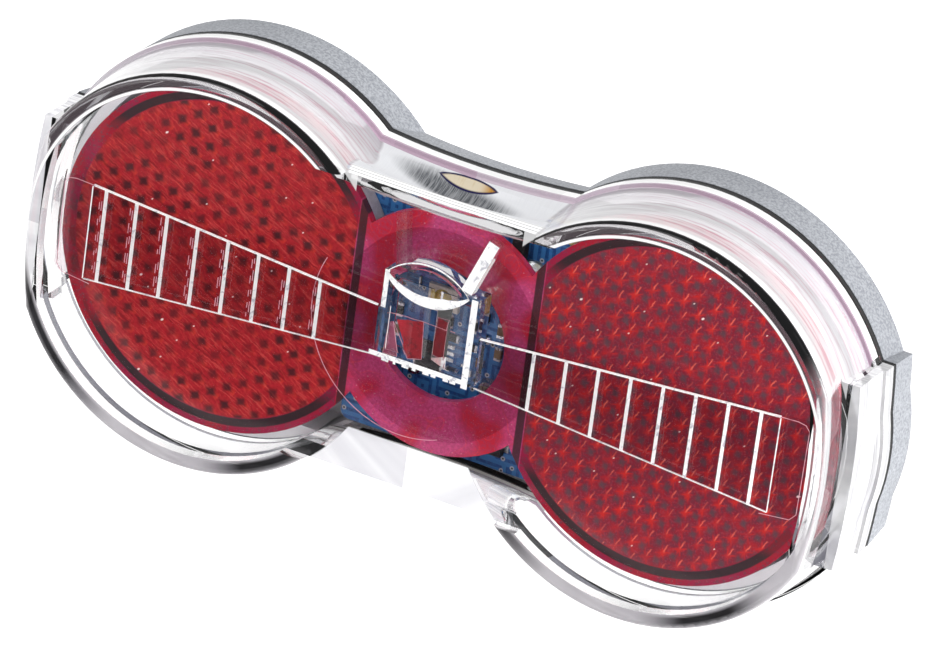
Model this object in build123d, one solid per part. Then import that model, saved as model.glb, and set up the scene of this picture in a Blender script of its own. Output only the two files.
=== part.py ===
from build123d import *
import math
import os

# A rear light for a bicycle's luggage rack, in millimetres.
# X runs across the lamp, Y from its front to its back and Z up.
# The origin lies midway between the two studs, on the plane where the rear pads meet the rack.

# Whole lamp
lobe_gap = 5.9  # between the two round lobes
seal_thickness = 0.7
housing_depth = 5.5
pad_height = 2.5  # how far the pads stand off the back of the housing
cut_overrun = 1.0  # how far each cutting shape runs past what it cuts

# Outline at the seal: two round lobes, a waist that curves in, and a flattened block on each end
lobe_radius = 23.85
waist_drop = 6.15  # how much lower the waist is than the lobes
waist_rise = 3.7  # how much higher the waist's curve stands at the lobes' centres
end_inset = 0.45  # from the lobe's outermost point to the block's face
end_half_height = 10.7
end_curve_radius = 95.0

# Clear cover
cover_draft = 1.25  # how much smaller each lobe is at the front than at the seal
cover_wall = 1.8
waist_wall = 1.4
pane_thickness = 1.4
lip_height = 1.5
lip_width = 1.7
lip_rounding = 0.7
waist_front_slope = 0.9  # how much lower the waist is at the pane than at the seal
waist_front_rise = 0.2
waist_land_slope = 0.6  # the waist's front edge is rounded off up to here
waist_land_rise = 0.8
waist_land_depth = 1.2
waist_middle_slope = 1.1
waist_middle_rise = 3.6
waist_inner_sink = 3.4  # the waist's inner wall, under the spoon
waist_inner_rise = 4.6
waist_middle_depth = 4.4
spoon_sink = 2.5  # the waist is hollowed like a spoon between the pane and the rim
spoon_curve_radius = 35.0
spoon_section_radius = 3.4
rim_depth = 1.8  # a raised band runs round the cover just before the seal
rim_step = 0.4
nose_cut = 2.65  # the lobes' outer ends are cut back at the front
nose_curve_radius = 55.0
nose_depth = 4.0

# Seal
seal_inset = 0.05
seal_width = 1.5

# Rear housing
housing_wall = 2.0
rear_lobe_draft = 0.1  # how much smaller each part of the outline is behind than at the seal
rear_waist_draft = 1.45
rear_rise_draft = 0.1
rear_end_draft = 0.3
rear_end_side_draft = 0.6
rear_edge_rounding = 0.8
spigot_height = 2.2
spigot_thickness = 1.2
spigot_clearance = 0.15

# Studs that clamp the lamp to the rack
stud_edge_distance = 10.65  # from each stud to the outermost point of its lobe
stud_radius = 2.5
stud_length = 11.0
stud_tip_bevel = 0.6
shoulder_radius = 2.7
shoulder_clearance = 0.05
head_across_flats = 8.0
head_height = 3.5
head_clearance = 0.1
head_gap = 1.8  # between the heads and the reflector's backing
boss_radius = 6.6
stud_pad_radius = 8.0
pad_edge_bevel = 0.4

# Middle pad and the well behind the board
middle_pad_half_width = 17.0
middle_pad_bottom_margin = 1.5  # from the pad to the edge of the housing's back
middle_pad_top_margin = 3.1
middle_pad_corner = 4.0

# Bay for the two plugs, open below and behind
bay_half_width = 9.0
bay_ceiling_z = -5.5
bay_depth = 5.5
bay_wall = 1.5
bay_corner = 1.0

# Reflector plate
reflector_gap = 1.0  # between the discs' edges and the inside of the cover
reflector_plate_thickness = 1.0
hub_disc_gap = 0.4  # between the middle disc and the waist's inner wall
hub_hole_radius = 7.7
prism_pitch = 2.15  # from the tip of one corner cube to the next
prism_land = 0.1
prism_tip_clearance = 0.045
weld_ring_inset = 0.7
weld_ring_width = 1.0
weld_ring_clearance = 0.05
chord_x = 10.2  # the inner straight side of each sealed backing
backing_thickness = 1.0

# Light guide
guide_clearance = 0.1
guide_thickness = 2.4
guide_end_clearance = 0.7
wing_root_half_height = 2.7
wing_tip_half_height = 5.8
wing_corner = 1.0
wing_thickness = 1.0
wing_drop = 0.3  # how much lower the wings lie than the discs' centres
rung_count = 8
first_rung_x = 12.95
rung_end_margin = 5.9
rung_width = 1.0
rung_depth = 0.6
tab_length = 4.0
tab_step = 0.5
flange_inset = 1.9  # from the middle disc's edge to the flange's edge
flange_thickness = 0.85
flange_clearance = 0.05
hub_half_width = 5.8
hub_bottom_z = -3.2
hub_top_z = 7.0
hub_wall = 1.1
hub_floor = 0.6
roof_half_width = 2.6
eye_half_length = 5.1
eye_half_height = 2.45
eye_x = -0.7
eye_z = 6.6
eye_height = 1.5
eye_hollow = 0.8
arm_foot_x = 3.9
arm_foot_z = 7.4
arm_end_gap = 1.35  # between the arms' ends and the waist's inner wall
arm_lean_degrees = 17.0
arm_width = 1.3
arm_thickness = 1.2
arm_drop = 1.7
lens_hole_clearance = 0.53
lens_back_radius = 2.3

# Circuit board
board_clearance = 0.2
board_thickness = 1.6
board_chord_overlap = 2.2  # how far the board runs behind each backing
board_bottom_margin = 2.3  # from the board's edges to the outside of the waist at the seal
board_top_margin = 4.8
board_corner = 1.0
board_screw_gap = 0.3  # between the screws' heads and the backings
board_screw_edge_distance = 4.9  # from the screws' centres to the board's upper edge
board_screw_radius = 1.1
board_screw_length = 3.6
board_screw_head_radius = 1.9
board_screw_head_height = 1.1
board_screw_recess_share = 1.2  # the cross recess's length, as a share of the head's radius
board_screw_clearance = 0.15
board_post_radius = 2.2

# Lamp chip under the light guide
led_x = -0.7
led_z = 3.6
led_width = 3.5
led_height = 2.8
led_body_depth = 0.9
led_dome_radius = 1.1
led_clearance = 0.15

# Small parts on the board's front
chip_x = -1.3
chip_z = -3.1
chip_size = 3.0
chip_depth = 0.9
chip_lead_width = 0.4
chip_lead_reach = 0.9
chip_lead_thickness = 0.2
chip_lead_pitch = 0.75
chip_leads_per_side = 4
small_part_length = 1.6
small_part_width = 0.8
small_part_depth = 0.5
small_part_cap = 0.3
diode_length = 2.6
diode_width = 1.6
diode_depth = 1.1
diode_tab = 0.5

# Storage capacitor on the board's back
capacitor_x = 0.0
capacitor_z = 4.5
capacitor_radius = 5.7
capacitor_depth = 4.6
capacitor_standoff = 0.3
capacitor_groove = 0.3
capacitor_clearance = 0.5
capacitor_leg_width = 1.2
capacitor_leg_thickness = 0.2
capacitor_leg_spacing = 7.5
capacitor_leg_depth = 2.2  # each leg passes through the board and stands out of its front

# Plug blades
blade_thickness = 0.8
blade_gap_z = 0.5  # between the bay's ceiling and the blades
blade_length = 7.5
blade_y_from_back = 2.9
blade_tip_bevel = 0.7
blade_pin_width = 1.3
blade_pin_clearance = 0.05
blade_hole_radius = 0.7
wide_blade_width = 4.8
wide_blade_x = -4.2
narrow_blade_width = 2.8
narrow_blade_x = 4.6
solder_radius = 1.2
solder_height = 0.7
solder_tip_share = 0.75  # of the joint's foot

# Depths of the main faces, worked out from the plane of the pads towards the front
housing_back_y = -pad_height
housing_front_y = housing_back_y - housing_depth
housing_floor_y = housing_back_y - housing_wall
seal_front_y = housing_front_y - seal_thickness
rim_front_y = seal_front_y - rim_depth
backing_back_y = housing_floor_y - head_height - head_gap
backing_front_y = backing_back_y - backing_thickness
board_front_y = backing_back_y + board_clearance
board_back_y = board_front_y + board_thickness
prism_side = prism_pitch / math.sqrt(3)
prism_step = prism_side / math.sqrt(2)
prism_tip_y = backing_front_y - prism_tip_clearance
plate_back_y = prism_tip_y - 2 * prism_step - prism_land
plate_front_y = plate_back_y - reflector_plate_thickness
guide_back_y = plate_front_y - flange_clearance - flange_thickness
guide_front_y = guide_back_y - guide_thickness
pane_back_y = guide_front_y - guide_clearance
pane_front_y = pane_back_y - pane_thickness
lip_front_y = pane_front_y - lip_height
nose_step_y = lip_front_y + nose_depth
bay_front_y = -bay_depth
blade_y = -blade_y_from_back

# Sizes that follow the ones above
lobe_centre_x = lobe_radius + lobe_gap / 2
waist_half_height = lobe_radius - waist_drop
lobe_reach = lobe_centre_x + lobe_radius
end_reach = lobe_reach - end_inset
nose_reach = lobe_reach - nose_cut
cover_front_radius = lobe_radius - cover_draft
waist_front_half_height = waist_half_height - waist_front_slope
waist_inner_half_height = waist_half_height - waist_inner_sink
stud_x = lobe_reach - stud_edge_distance
reflector_radius = cover_front_radius - cover_wall - reflector_gap
weld_ring_radius = reflector_radius - weld_ring_inset
prism_field_radius = weld_ring_radius - weld_ring_width - weld_ring_clearance
hub_disc_radius = waist_inner_half_height - hub_disc_gap
flange_radius = hub_disc_radius - flange_inset
guide_reach = nose_reach - cover_wall - guide_end_clearance
rung_pitch = (guide_reach - rung_end_margin - first_rung_x) / (rung_count - 1)
arm_rise = waist_inner_half_height - arm_end_gap - arm_foot_z
arm_length = arm_rise / math.cos(math.radians(arm_lean_degrees))
lens_front_radius = hub_hole_radius - math.hypot(led_x, led_z) - lens_hole_clearance
board_half_width = chord_x + board_chord_overlap
board_bottom_z = board_bottom_margin - waist_half_height
board_top_z = waist_half_height - board_top_margin
board_centre_z = (board_top_z + board_bottom_z) / 2
board_half_height = (board_top_z - board_bottom_z) / 2
board_screw_x = chord_x - board_screw_gap - board_screw_head_radius
board_screw_z = board_top_z - board_screw_edge_distance
middle_pad_bottom_z = middle_pad_bottom_margin + rear_waist_draft - waist_half_height
middle_pad_top_z = waist_half_height - rear_waist_draft - middle_pad_top_margin
post_radius = 2 * weld_ring_width
post_ring_radius = weld_ring_radius - weld_ring_width - 2 * post_radius

rim_outline = (lobe_radius, waist_half_height, waist_rise, end_reach, end_half_height)
rear_outline = (
    lobe_radius - rear_lobe_draft,
    waist_half_height - rear_waist_draft,
    waist_rise - rear_rise_draft,
    end_reach - rear_end_draft,
    end_half_height - rear_end_side_draft,
)


# Shapes are drawn as seen from the front, with X to the right and Z up, at a given depth
def at_depth(y):
    return Plane.XZ.offset(-y)


def slab(outline, y_front, y_back):
    return extrude(at_depth(y_back) * outline, amount=y_back - y_front)


def cone(x, z, front_radius, back_radius, y_front, y_back):
    middle = at_depth((y_front + y_back) / 2)
    return middle * Pos(x, z) * Cone(back_radius, front_radius, y_back - y_front)


def rod(x, z, radius, y_front, y_back):
    return slab(Pos(x, z) * Circle(radius), y_front, y_back)


def brick(x, z, width, height, y_front, y_back):
    return slab(Pos(x, z) * Rectangle(width, height), y_front, y_back)


def both_sides(shape):
    return shape + mirror(shape, about=Plane.YZ)


def closed_face(*edges):
    return make_face(ShapeList(edges))


# The outline's three kinds of part, each as a flat shape
def waist_sketch(half_height, rise):
    reach = lobe_centre_x
    corner_z = half_height + rise
    return closed_face(
        ThreePointArc((-reach, corner_z), (0, half_height), (reach, corner_z)),
        Line((reach, corner_z), (reach, -corner_z)),
        ThreePointArc((reach, -corner_z), (0, -half_height), (-reach, -corner_z)),
        Line((-reach, -corner_z), (-reach, corner_z)),
    )


def end_sketch(reach, half_height):
    corner_x = reach - end_curve_radius + math.sqrt(end_curve_radius**2 - half_height**2)
    root_x = lobe_centre_x
    return closed_face(
        ThreePointArc((corner_x, -half_height), (reach, 0), (corner_x, half_height)),
        Line((corner_x, half_height), (root_x, half_height)),
        Line((root_x, half_height), (root_x, -half_height)),
        Line((root_x, -half_height), (corner_x, -half_height)),
    )


def lobe_sketch(radius):
    return Pos(lobe_centre_x, 0) * Circle(radius) + Pos(-lobe_centre_x, 0) * Circle(radius)


def lamp_outline(outline, inset):
    radius, half_height, rise, reach, end_half = outline
    ends = both_sides(end_sketch(reach - inset, end_half - inset))
    return lobe_sketch(radius - inset) + waist_sketch(half_height - inset, rise) + ends


# The same outline as a body that tapers from one depth to another
def lobe_body(front_radius, back_radius, y_front, y_back):
    return both_sides(cone(lobe_centre_x, 0, front_radius, back_radius, y_front, y_back))


def waist_body(*sections):
    return loft([at_depth(y) * waist_sketch(half, rise) for y, half, rise in sections])


def end_body(y_front, front_reach, front_half, y_back, back_reach, back_half):
    front = at_depth(y_front) * end_sketch(front_reach, front_half)
    back = at_depth(y_back) * end_sketch(back_reach, back_half)
    return both_sides(loft([front, back]))


def tapered_lamp(y_front, front, y_back, back):
    body = lobe_body(front[0], back[0], y_front, y_back)
    body += waist_body((y_front, front[1], front[2]), (y_back, back[1], back[2]))
    return body + end_body(y_front, front[3], front[4], y_back, back[3], back[4])


def inset_outline(outline, inset):
    radius, half_height, rise, reach, end_half = outline
    return (radius - inset, half_height - inset, rise, reach - inset, end_half - inset)


# What lies beyond the curved cut across the outer end of each lobe
def beyond_nose(inset, y_front, y_back):
    curve = Pos(nose_reach - nose_curve_radius, 0) * Circle(nose_curve_radius - inset)
    beyond_width = 2 * lobe_radius
    block = Pos(lobe_centre_x + lobe_radius, 0) * Rectangle(beyond_width, 2 * lobe_radius)
    return both_sides(slab(block - curve, y_front, y_back))


# Clear cover: a flat pane with a lip round each lobe, and walls that run back to the seal
def cover_outside():
    rim_back_radius = lobe_radius - rim_step
    body = lobe_body(cover_front_radius, rim_back_radius, lip_front_y, rim_front_y)
    body -= beyond_nose(0, lip_front_y - cut_overrun, nose_step_y)
    waist = waist_body(
        (pane_front_y, waist_front_half_height, waist_front_rise),
        (pane_front_y + waist_land_depth, waist_half_height - waist_land_slope, waist_land_rise),
        (pane_front_y + waist_middle_depth, waist_half_height - waist_middle_slope, waist_middle_rise),
        (rim_front_y, waist_half_height - rim_step, waist_rise),
    )
    body += waist - spoon() - mirror(spoon(), about=Plane.XY)
    end_half = end_half_height
    body += both_sides(slab(end_sketch(end_reach - rim_step, end_half), nose_step_y, rim_front_y))
    return body + slab(lamp_outline(rim_outline, 0), rim_front_y, seal_front_y)


def spoon():
    lowest_z = waist_half_height - spoon_sink
    centre_z = lowest_z + spoon_curve_radius + spoon_section_radius
    ring = Torus(spoon_curve_radius, spoon_section_radius)
    return at_depth(pane_front_y + waist_middle_depth) * Pos(0, centre_z) * ring


def cover_recess():
    nose = Circle(nose_curve_radius - lip_width)
    nose_x = nose_reach - nose_curve_radius
    right = Pos(lobe_centre_x, 0) * Circle(cover_front_radius - lip_width) & Pos(nose_x, 0) * nose
    waist = Rectangle(2 * lobe_centre_x, 2 * waist_front_half_height)
    return slab(both_sides(right) + waist, lip_front_y - cut_overrun, pane_front_y)


def cover_cavity():
    inner_front = cover_front_radius - cover_wall
    inner_back = lobe_radius - rim_step - cover_wall
    back_y = seal_front_y + cut_overrun
    lobes = lobe_body(inner_front, inner_back, pane_back_y, rim_front_y)
    lobes += slab(lobe_sketch(inner_back), rim_front_y, back_y)
    lobes -= beyond_nose(cover_wall, pane_back_y - cut_overrun, nose_step_y + cover_wall)
    waist = waist_body(
        (pane_back_y, waist_front_half_height - waist_wall, waist_front_rise),
        (pane_front_y + waist_middle_depth, waist_inner_half_height, waist_inner_rise),
        (rim_front_y, waist_half_height - rim_step - waist_wall, waist_rise),
        (back_y, waist_half_height - waist_wall, waist_rise),
    )
    return lobes + waist


def clear_cover():
    cover = cover_outside() - cover_recess()
    for is_chosen in (is_nose_edge, is_lobe_edge):
        lip_edges = cover.edges().group_by(Axis.Y)[0]
        cover = fillet([edge for edge in lip_edges if is_chosen(edge)], lip_rounding)
    return cover - cover_cavity()


# The lip's front edge along the cut across the outer end of a lobe
def is_nose_edge(edge):
    middle = edge.position_at(1 / 2)
    nose_x = nose_reach - nose_curve_radius
    from_nose = math.hypot(abs(middle.X) - nose_x, middle.Z) - nose_curve_radius
    return abs(from_nose) < lip_width / 2


# The lip's outer front edge round the rest of a lobe
def is_lobe_edge(edge):
    middle = edge.position_at(1 / 2)
    from_centre = math.hypot(abs(middle.X) - lobe_centre_x, middle.Z)
    return not is_nose_edge(edge) and from_centre > cover_front_radius - lip_width / 2


def housing_seal():
    ring = lamp_outline(rim_outline, seal_inset) - lamp_outline(rim_outline, seal_inset + seal_width)
    return slab(ring, seal_front_y, housing_front_y)


# Rear housing: a shallow tray with pads behind, and posts and bosses inside
def housing_shell():
    rounding = rear_edge_rounding
    edge_y = housing_back_y - rounding
    shell = tapered_lamp(housing_front_y, rim_outline, edge_y, rear_outline)
    shell += tapered_lamp(edge_y, rear_outline, housing_back_y, inset_outline(rear_outline, rounding))
    inner_front = inset_outline(rim_outline, housing_wall)
    inner_back = inset_outline(rear_outline, housing_wall)
    return shell - tapered_lamp(housing_front_y, inner_front, housing_floor_y, inner_back)


def spigot():
    outer = lobe_radius - rim_step - cover_wall - spigot_clearance
    ring = lobe_sketch(outer) - lobe_sketch(outer - spigot_thickness)
    waist = Rectangle(2 * lobe_centre_x, 2 * waist_half_height)
    return slab(ring - waist, housing_front_y - spigot_height, housing_floor_y)


def rear_pads():
    pad_y = housing_back_y - housing_wall / 2
    stud_pad = rod(stud_x, 0, stud_pad_radius, pad_y, 0)
    width = 2 * middle_pad_half_width
    height = middle_pad_top_z - middle_pad_bottom_z
    centre_z = (middle_pad_top_z + middle_pad_bottom_z) / 2
    middle = slab(Pos(0, centre_z) * RectangleRounded(width, height, middle_pad_corner), pad_y, 0)
    pads = both_sides(stud_pad) + middle
    return chamfer(pads.faces().sort_by(Axis.Y)[-3:].edges(), pad_edge_bevel)


def hexagon(across_flats):
    return RegularPolygon(across_flats / 2, 6, major_radius=False)


def stud_boss():
    boss = rod(stud_x, 0, boss_radius, housing_floor_y - head_height, housing_floor_y)
    return both_sides(boss)


def stud_pocket():
    front_y = housing_floor_y - head_height - cut_overrun
    head = Pos(stud_x, 0) * hexagon(head_across_flats + 2 * head_clearance)
    hole = rod(stud_x, 0, shoulder_radius + shoulder_clearance, housing_floor_y, cut_overrun)
    return both_sides(slab(head, front_y, housing_floor_y) + hole)


def reflector_posts():
    posts = Part()
    for quarter in range(4):
        angle = math.radians(45 + 90 * quarter)
        x = lobe_centre_x + post_ring_radius * math.cos(angle)
        z = post_ring_radius * math.sin(angle)
        posts += rod(x, z, post_radius, backing_back_y, housing_floor_y)
    return both_sides(posts)


def board_posts():
    hole = rod(board_screw_x, board_screw_z, board_screw_radius, board_back_y, housing_floor_y)
    post = rod(board_screw_x, board_screw_z, board_post_radius, board_back_y, housing_floor_y)
    return both_sides(post - hole)


def capacitor_well():
    back_y = board_back_y + capacitor_standoff + capacitor_depth + capacitor_clearance
    radius = capacitor_radius + capacitor_clearance
    return rod(capacitor_x, capacitor_z, radius, board_back_y, back_y)


def bay_block():
    width = 2 * (bay_half_width + bay_wall)
    top_z = bay_ceiling_z + bay_wall
    height = top_z - board_bottom_z
    centre_z = (top_z + board_bottom_z) / 2
    return brick(0, centre_z, width, height, board_back_y, housing_floor_y)


def bay_opening():
    bottom_z = -waist_half_height - cut_overrun
    height = bay_ceiling_z - bottom_z
    centre_z = (bay_ceiling_z + bottom_z) / 2
    mouth = Pos(0, centre_z) * RectangleRounded(2 * bay_half_width, height, bay_corner)
    return slab(mouth, bay_front_y, cut_overrun)


def pin_slot(x):
    width = blade_pin_width + 2 * blade_pin_clearance
    height = blade_thickness + 2 * blade_pin_clearance
    z = bay_ceiling_z - blade_gap_z - blade_thickness / 2
    return brick(x, z, width, height, board_front_y - cut_overrun, bay_front_y + cut_overrun)


def rear_housing():
    housing = housing_shell() + spigot() + rear_pads() + stud_boss() + reflector_posts()
    housing += board_posts() + bay_block()
    housing -= stud_pocket() + capacitor_well() + bay_opening()
    return housing - pin_slot(wide_blade_x) - pin_slot(narrow_blade_x)


# Reflector plate: red discs and a middle disc in one moulding, with corner cubes behind
def prism_cells():
    rows = int(prism_field_radius / prism_pitch) + 2
    cells = []
    for row in range(-rows, rows + 1):
        for column in range(-2 * rows, 2 * rows + 1):
            x = row * prism_pitch * math.sqrt(3) / 2
            z = (column + row / 2) * prism_pitch
            inside = math.hypot(x, z) + prism_side < prism_field_radius
            chord = chord_x + weld_ring_width + weld_ring_clearance
            if inside and lobe_centre_x + x - prism_side > chord:
                cells.append((x, z))
    return cells


# Each cell is a cube standing on its corner: three square faces round a tip that points back.
# Its six rim points stand one and two steps in front of the tip by turns.
def prism_rim(x, z):
    rim = []
    for corner in range(6):
        angle = math.radians(60 * corner)
        depth = prism_tip_y - prism_step * (1 if corner % 2 else 2)
        rim.append((x + prism_side * math.cos(angle), depth, z + prism_side * math.sin(angle)))
    return rim


def flat_face(*points):
    return Face(Wire.make_polygon(points))


def shared_edge(first, second):
    return frozenset((round(x / prism_side, 3), round(z / prism_side, 3)) for x, y, z in (first, second))


def prism_field():
    faces = []
    sides = {}
    for x, z in prism_cells():
        rim = prism_rim(x, z)
        foot = [(point[0], plate_back_y, point[2]) for point in rim]
        faces.append(flat_face(*foot))
        for corner in (0, 2, 4):
            around = (rim[corner - 1], rim[corner], rim[corner + 1])
            faces.append(flat_face((x, prism_tip_y, z), *around))
        for corner in range(6):
            after = (corner + 1) % 6
            edge = shared_edge(rim[corner], rim[after])
            wall = (rim[corner], rim[after], foot[after], foot[corner])
            sides[edge] = None if edge in sides else wall
    faces += [flat_face(*wall) for wall in sides.values() if wall]
    return Pos(lobe_centre_x, 0, 0) * Solid(Shell(faces))


def reflector_plate():
    outline = lobe_sketch(reflector_radius) + Circle(hub_disc_radius) - Circle(hub_hole_radius)
    field = prism_field()
    return slab(outline, plate_front_y, plate_back_y) + field + Rot(0, 180, 0) * field


# Backing: a dark tray welded to the plate's back round each field of prisms
def reflector_backing():
    def outline(inset):
        disc = Pos(lobe_centre_x, 0) * Circle(weld_ring_radius - inset)
        beyond_chord = chord_x + inset + lobe_radius
        return disc & Pos(beyond_chord, 0) * Rectangle(2 * lobe_radius, 2 * lobe_radius)

    ring = slab(outline(0) - outline(weld_ring_width), plate_back_y, backing_front_y)
    return ring + slab(outline(0), backing_front_y, backing_back_y)


# Light guide: two wings with rungs, a hub box over the lamp chip and a round flange
def wing():
    root_x = hub_half_width - hub_wall
    root = wing_root_half_height
    tip = wing_tip_half_height
    outline = make_face(
        Polyline((root_x, -root), (guide_reach, -tip), (guide_reach, tip), (root_x, root), close=True)
    )
    outline = fillet(outline.vertices().group_by(Axis.X)[-1], wing_corner)
    body = slab(outline, guide_front_y, guide_front_y + wing_thickness)
    tab_front_y = guide_front_y + tab_step
    return body - brick(guide_reach, 0, 2 * tab_length, 4 * tip, guide_front_y - cut_overrun, tab_front_y)


def rung(x):
    half = rung_width / 2
    profile = Polyline(
        (x - half, guide_front_y), (x + half, guide_front_y), (x, guide_front_y + rung_depth), close=True
    )
    return extrude(make_face(profile), amount=2 * wing_tip_half_height, both=True)


def hub_box():
    height = hub_top_z - hub_bottom_z
    centre_z = (hub_top_z + hub_bottom_z) / 2
    outer = Rectangle(2 * hub_half_width, height)
    inner = Rectangle(2 * (hub_half_width - hub_wall), height - 2 * hub_wall)
    box = slab(Pos(0, centre_z) * (outer - inner), guide_front_y, guide_back_y)
    return box + slab(Pos(0, centre_z) * outer, guide_back_y - hub_floor, guide_back_y)


# A roof of clear plastic over the lamp chip turns its light into the wings
def hub_roof():
    ridge_y = guide_back_y - hub_floor / 2
    profile = Polyline(
        (-roof_half_width, guide_front_y), (roof_half_width, guide_front_y), (0, ridge_y), close=True
    )
    height = hub_top_z - hub_bottom_z - hub_wall
    roof = extrude(make_face(profile), amount=height / 2, both=True)
    return Pos(0, 0, (hub_top_z + hub_bottom_z) / 2) * roof


def eye():
    radius = (eye_half_length**2 + eye_half_height**2) / (2 * eye_half_height)
    shift = radius - eye_half_height

    def pointed_oval(inset):
        return Pos(0, shift) * Circle(radius - inset) & Pos(0, -shift) * Circle(radius - inset)

    hollow_y = guide_front_y + eye_height - eye_hollow
    lens = slab(Pos(eye_x, eye_z) * pointed_oval(0), guide_front_y, guide_front_y + eye_height)
    cut_y = guide_front_y - cut_overrun
    return lens, slab(Pos(eye_x, eye_z) * pointed_oval(eye_hollow), cut_y, hollow_y)


def arm():
    profile = Polyline(
        (guide_front_y, 0),
        (guide_front_y + arm_drop, arm_length),
        (guide_front_y + arm_drop + arm_thickness, arm_length),
        (guide_front_y + arm_thickness, 0),
        close=True,
    )
    bar = extrude(Plane.YZ * make_face(profile), amount=arm_width / 2, both=True)
    return Pos(arm_foot_x, 0, arm_foot_z) * Rot(0, arm_lean_degrees, 0) * bar


def light_guide():
    flange_ring = Circle(flange_radius) - Circle(hub_hole_radius)
    flange = slab(flange_ring, guide_back_y, guide_back_y + flange_thickness)
    wings = wing()
    for number in range(rung_count):
        wings -= rung(first_rung_x + number * rung_pitch)
    lens, hollow = eye()
    led_front_y = board_front_y - led_body_depth - led_dome_radius
    lens_back_y = led_front_y - led_clearance
    funnel = cone(led_x, led_z, lens_front_radius, lens_back_radius, guide_back_y, lens_back_y)
    wings = Pos(0, 0, -wing_drop) * wings
    guide = both_sides(wings + arm()) + flange + hub_box() + hub_roof() + funnel
    return guide + lens - hollow


# Circuit board and what is soldered to it
def circuit_board():
    outline = RectangleRounded(2 * board_half_width, 2 * board_half_height, board_corner)
    board = slab(Pos(0, board_centre_z) * outline, board_front_y, board_back_y)
    hole_radius = board_screw_radius + board_screw_clearance
    hole = rod(board_screw_x, board_screw_z, hole_radius, board_front_y, board_back_y)
    board -= both_sides(hole) + capacitor_leg_slots()
    return board - pin_slot(wide_blade_x) - pin_slot(narrow_blade_x)


def board_screw():
    x, z = board_screw_x, board_screw_z
    seat_y = board_front_y
    top_y = seat_y - board_screw_head_height
    head = rod(x, z, board_screw_head_radius, top_y, seat_y)
    head = chamfer(head.edges().sort_by(Axis.Y)[0], board_screw_head_height / 2)
    groove_width = board_screw_head_height / 2
    reach = board_screw_head_radius * board_screw_recess_share
    for width, height in ((reach, groove_width), (groove_width, reach)):
        head -= brick(x, z, width, height, top_y - cut_overrun, top_y + groove_width)
    return head + rod(x, z, board_screw_radius, seat_y, seat_y + board_screw_length)


def led_package():
    return brick(led_x, led_z, led_width, led_height, board_front_y - led_body_depth, board_front_y)


def led_dome():
    front_y = board_front_y - led_body_depth
    ball = Pos(led_x, front_y, led_z) * Sphere(led_dome_radius)
    keep = brick(led_x, led_z, led_width, led_height, front_y - 2 * led_dome_radius, front_y)
    return ball & keep


def controller_chip():
    lift = chip_lead_thickness
    front_y = board_front_y - lift - chip_depth
    body = brick(chip_x, chip_z, chip_size, chip_size, front_y, board_front_y - lift)
    return chamfer(body.faces().sort_by(Axis.Y)[0].edges(), chip_lead_thickness)


def chip_leads():
    leads = []
    seat_y = board_front_y
    thickness = chip_lead_thickness
    for side in (-1, 1):
        root_x = chip_x + side * chip_size / 2
        foot_x = root_x + side * chip_lead_reach / 2
        rise_x = root_x + side * thickness / 2
        for number in range(chip_leads_per_side):
            z = chip_z + (number - (chip_leads_per_side - 1) / 2) * chip_lead_pitch
            foot = brick(foot_x, z, chip_lead_reach, chip_lead_width, seat_y - thickness, seat_y)
            rise = brick(rise_x, z, thickness, chip_lead_width, seat_y - chip_depth, seat_y)
            leads.append(foot + rise)
    return leads


# Places on the board's front, as shares of its half width and half height, with a quarter turn or not
resistor_place_shares = (
    (0.27, 0.21, 1),
    (0.27, 0.03, 0),
    (0.01, 0.16, 1),
    (0.06, 0.03, 0),
    (0.01, -0.37, 0),
    (-0.47, 0.12, 1),
    (-0.50, 0.33, 0),
    (-0.74, -0.77, 0),
)
ceramic_place_shares = (
    (0.24, -0.18, 0),
    (0.43, -0.05, 1),
    (0.43, 0.14, 1),
    (0.45, 0.33, 0),
    (-0.52, -0.24, 0),
    (-0.48, -0.04, 1),
    (-0.21, 0.86, 0),
)
diode_place_shares = ((0.51, 0.86, 1), (0.50, -0.80, 0), (0.64, -0.24, 0))


def on_board(shares, shape_maker):
    solids = []
    for x_share, z_share, turned in shares:
        x = x_share * board_half_width
        z = board_centre_z + z_share * board_half_height
        solids.append(Pos(x, 0, z) * Rot(0, 90 * turned, 0) * shape_maker())
    return solids


def small_part_body():
    length = small_part_length - 2 * small_part_cap
    return brick(0, 0, length, small_part_width, board_front_y - small_part_depth, board_front_y)


def small_part_caps():
    centre_x = (small_part_length - small_part_cap) / 2
    front_y = board_front_y - small_part_depth
    return both_sides(brick(centre_x, 0, small_part_cap, small_part_width, front_y, board_front_y))


def diode_body():
    back_y = board_front_y - chip_lead_thickness
    body = brick(0, 0, diode_length, diode_width, back_y - diode_depth, back_y)
    return chamfer(body.faces().sort_by(Axis.Y)[0].edges(), chip_lead_thickness)


def diode_tabs():
    thickness = chip_lead_thickness
    centre_x = diode_length / 2
    tab = brick(centre_x, 0, 2 * diode_tab, diode_width / 2, board_front_y - thickness, board_front_y)
    return both_sides(tab)


# Storage capacitor: a round can with a groove near its foot, and two legs through the board
def storage_capacitor():
    front_y = board_back_y + capacitor_standoff
    can = rod(capacitor_x, capacitor_z, capacitor_radius, front_y, front_y + capacitor_depth)
    can = chamfer(can.edges().filter_by(GeomType.CIRCLE), capacitor_groove)
    ring = Circle(capacitor_radius + cut_overrun) - Circle(capacitor_radius - capacitor_groove)
    groove_y = front_y + 3 * capacitor_groove
    return can - slab(Pos(capacitor_x, capacitor_z) * ring, groove_y, groove_y + 2 * capacitor_groove)


def capacitor_leg_places():
    return [capacitor_x + side * capacitor_leg_spacing / 2 for side in (-1, 1)]


def capacitor_legs():
    back_y = board_back_y + capacitor_standoff
    width, thickness = capacitor_leg_width, capacitor_leg_thickness
    front_y = back_y - capacitor_leg_depth
    return [brick(x, capacitor_z, thickness, width, front_y, back_y) for x in capacitor_leg_places()]


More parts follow.
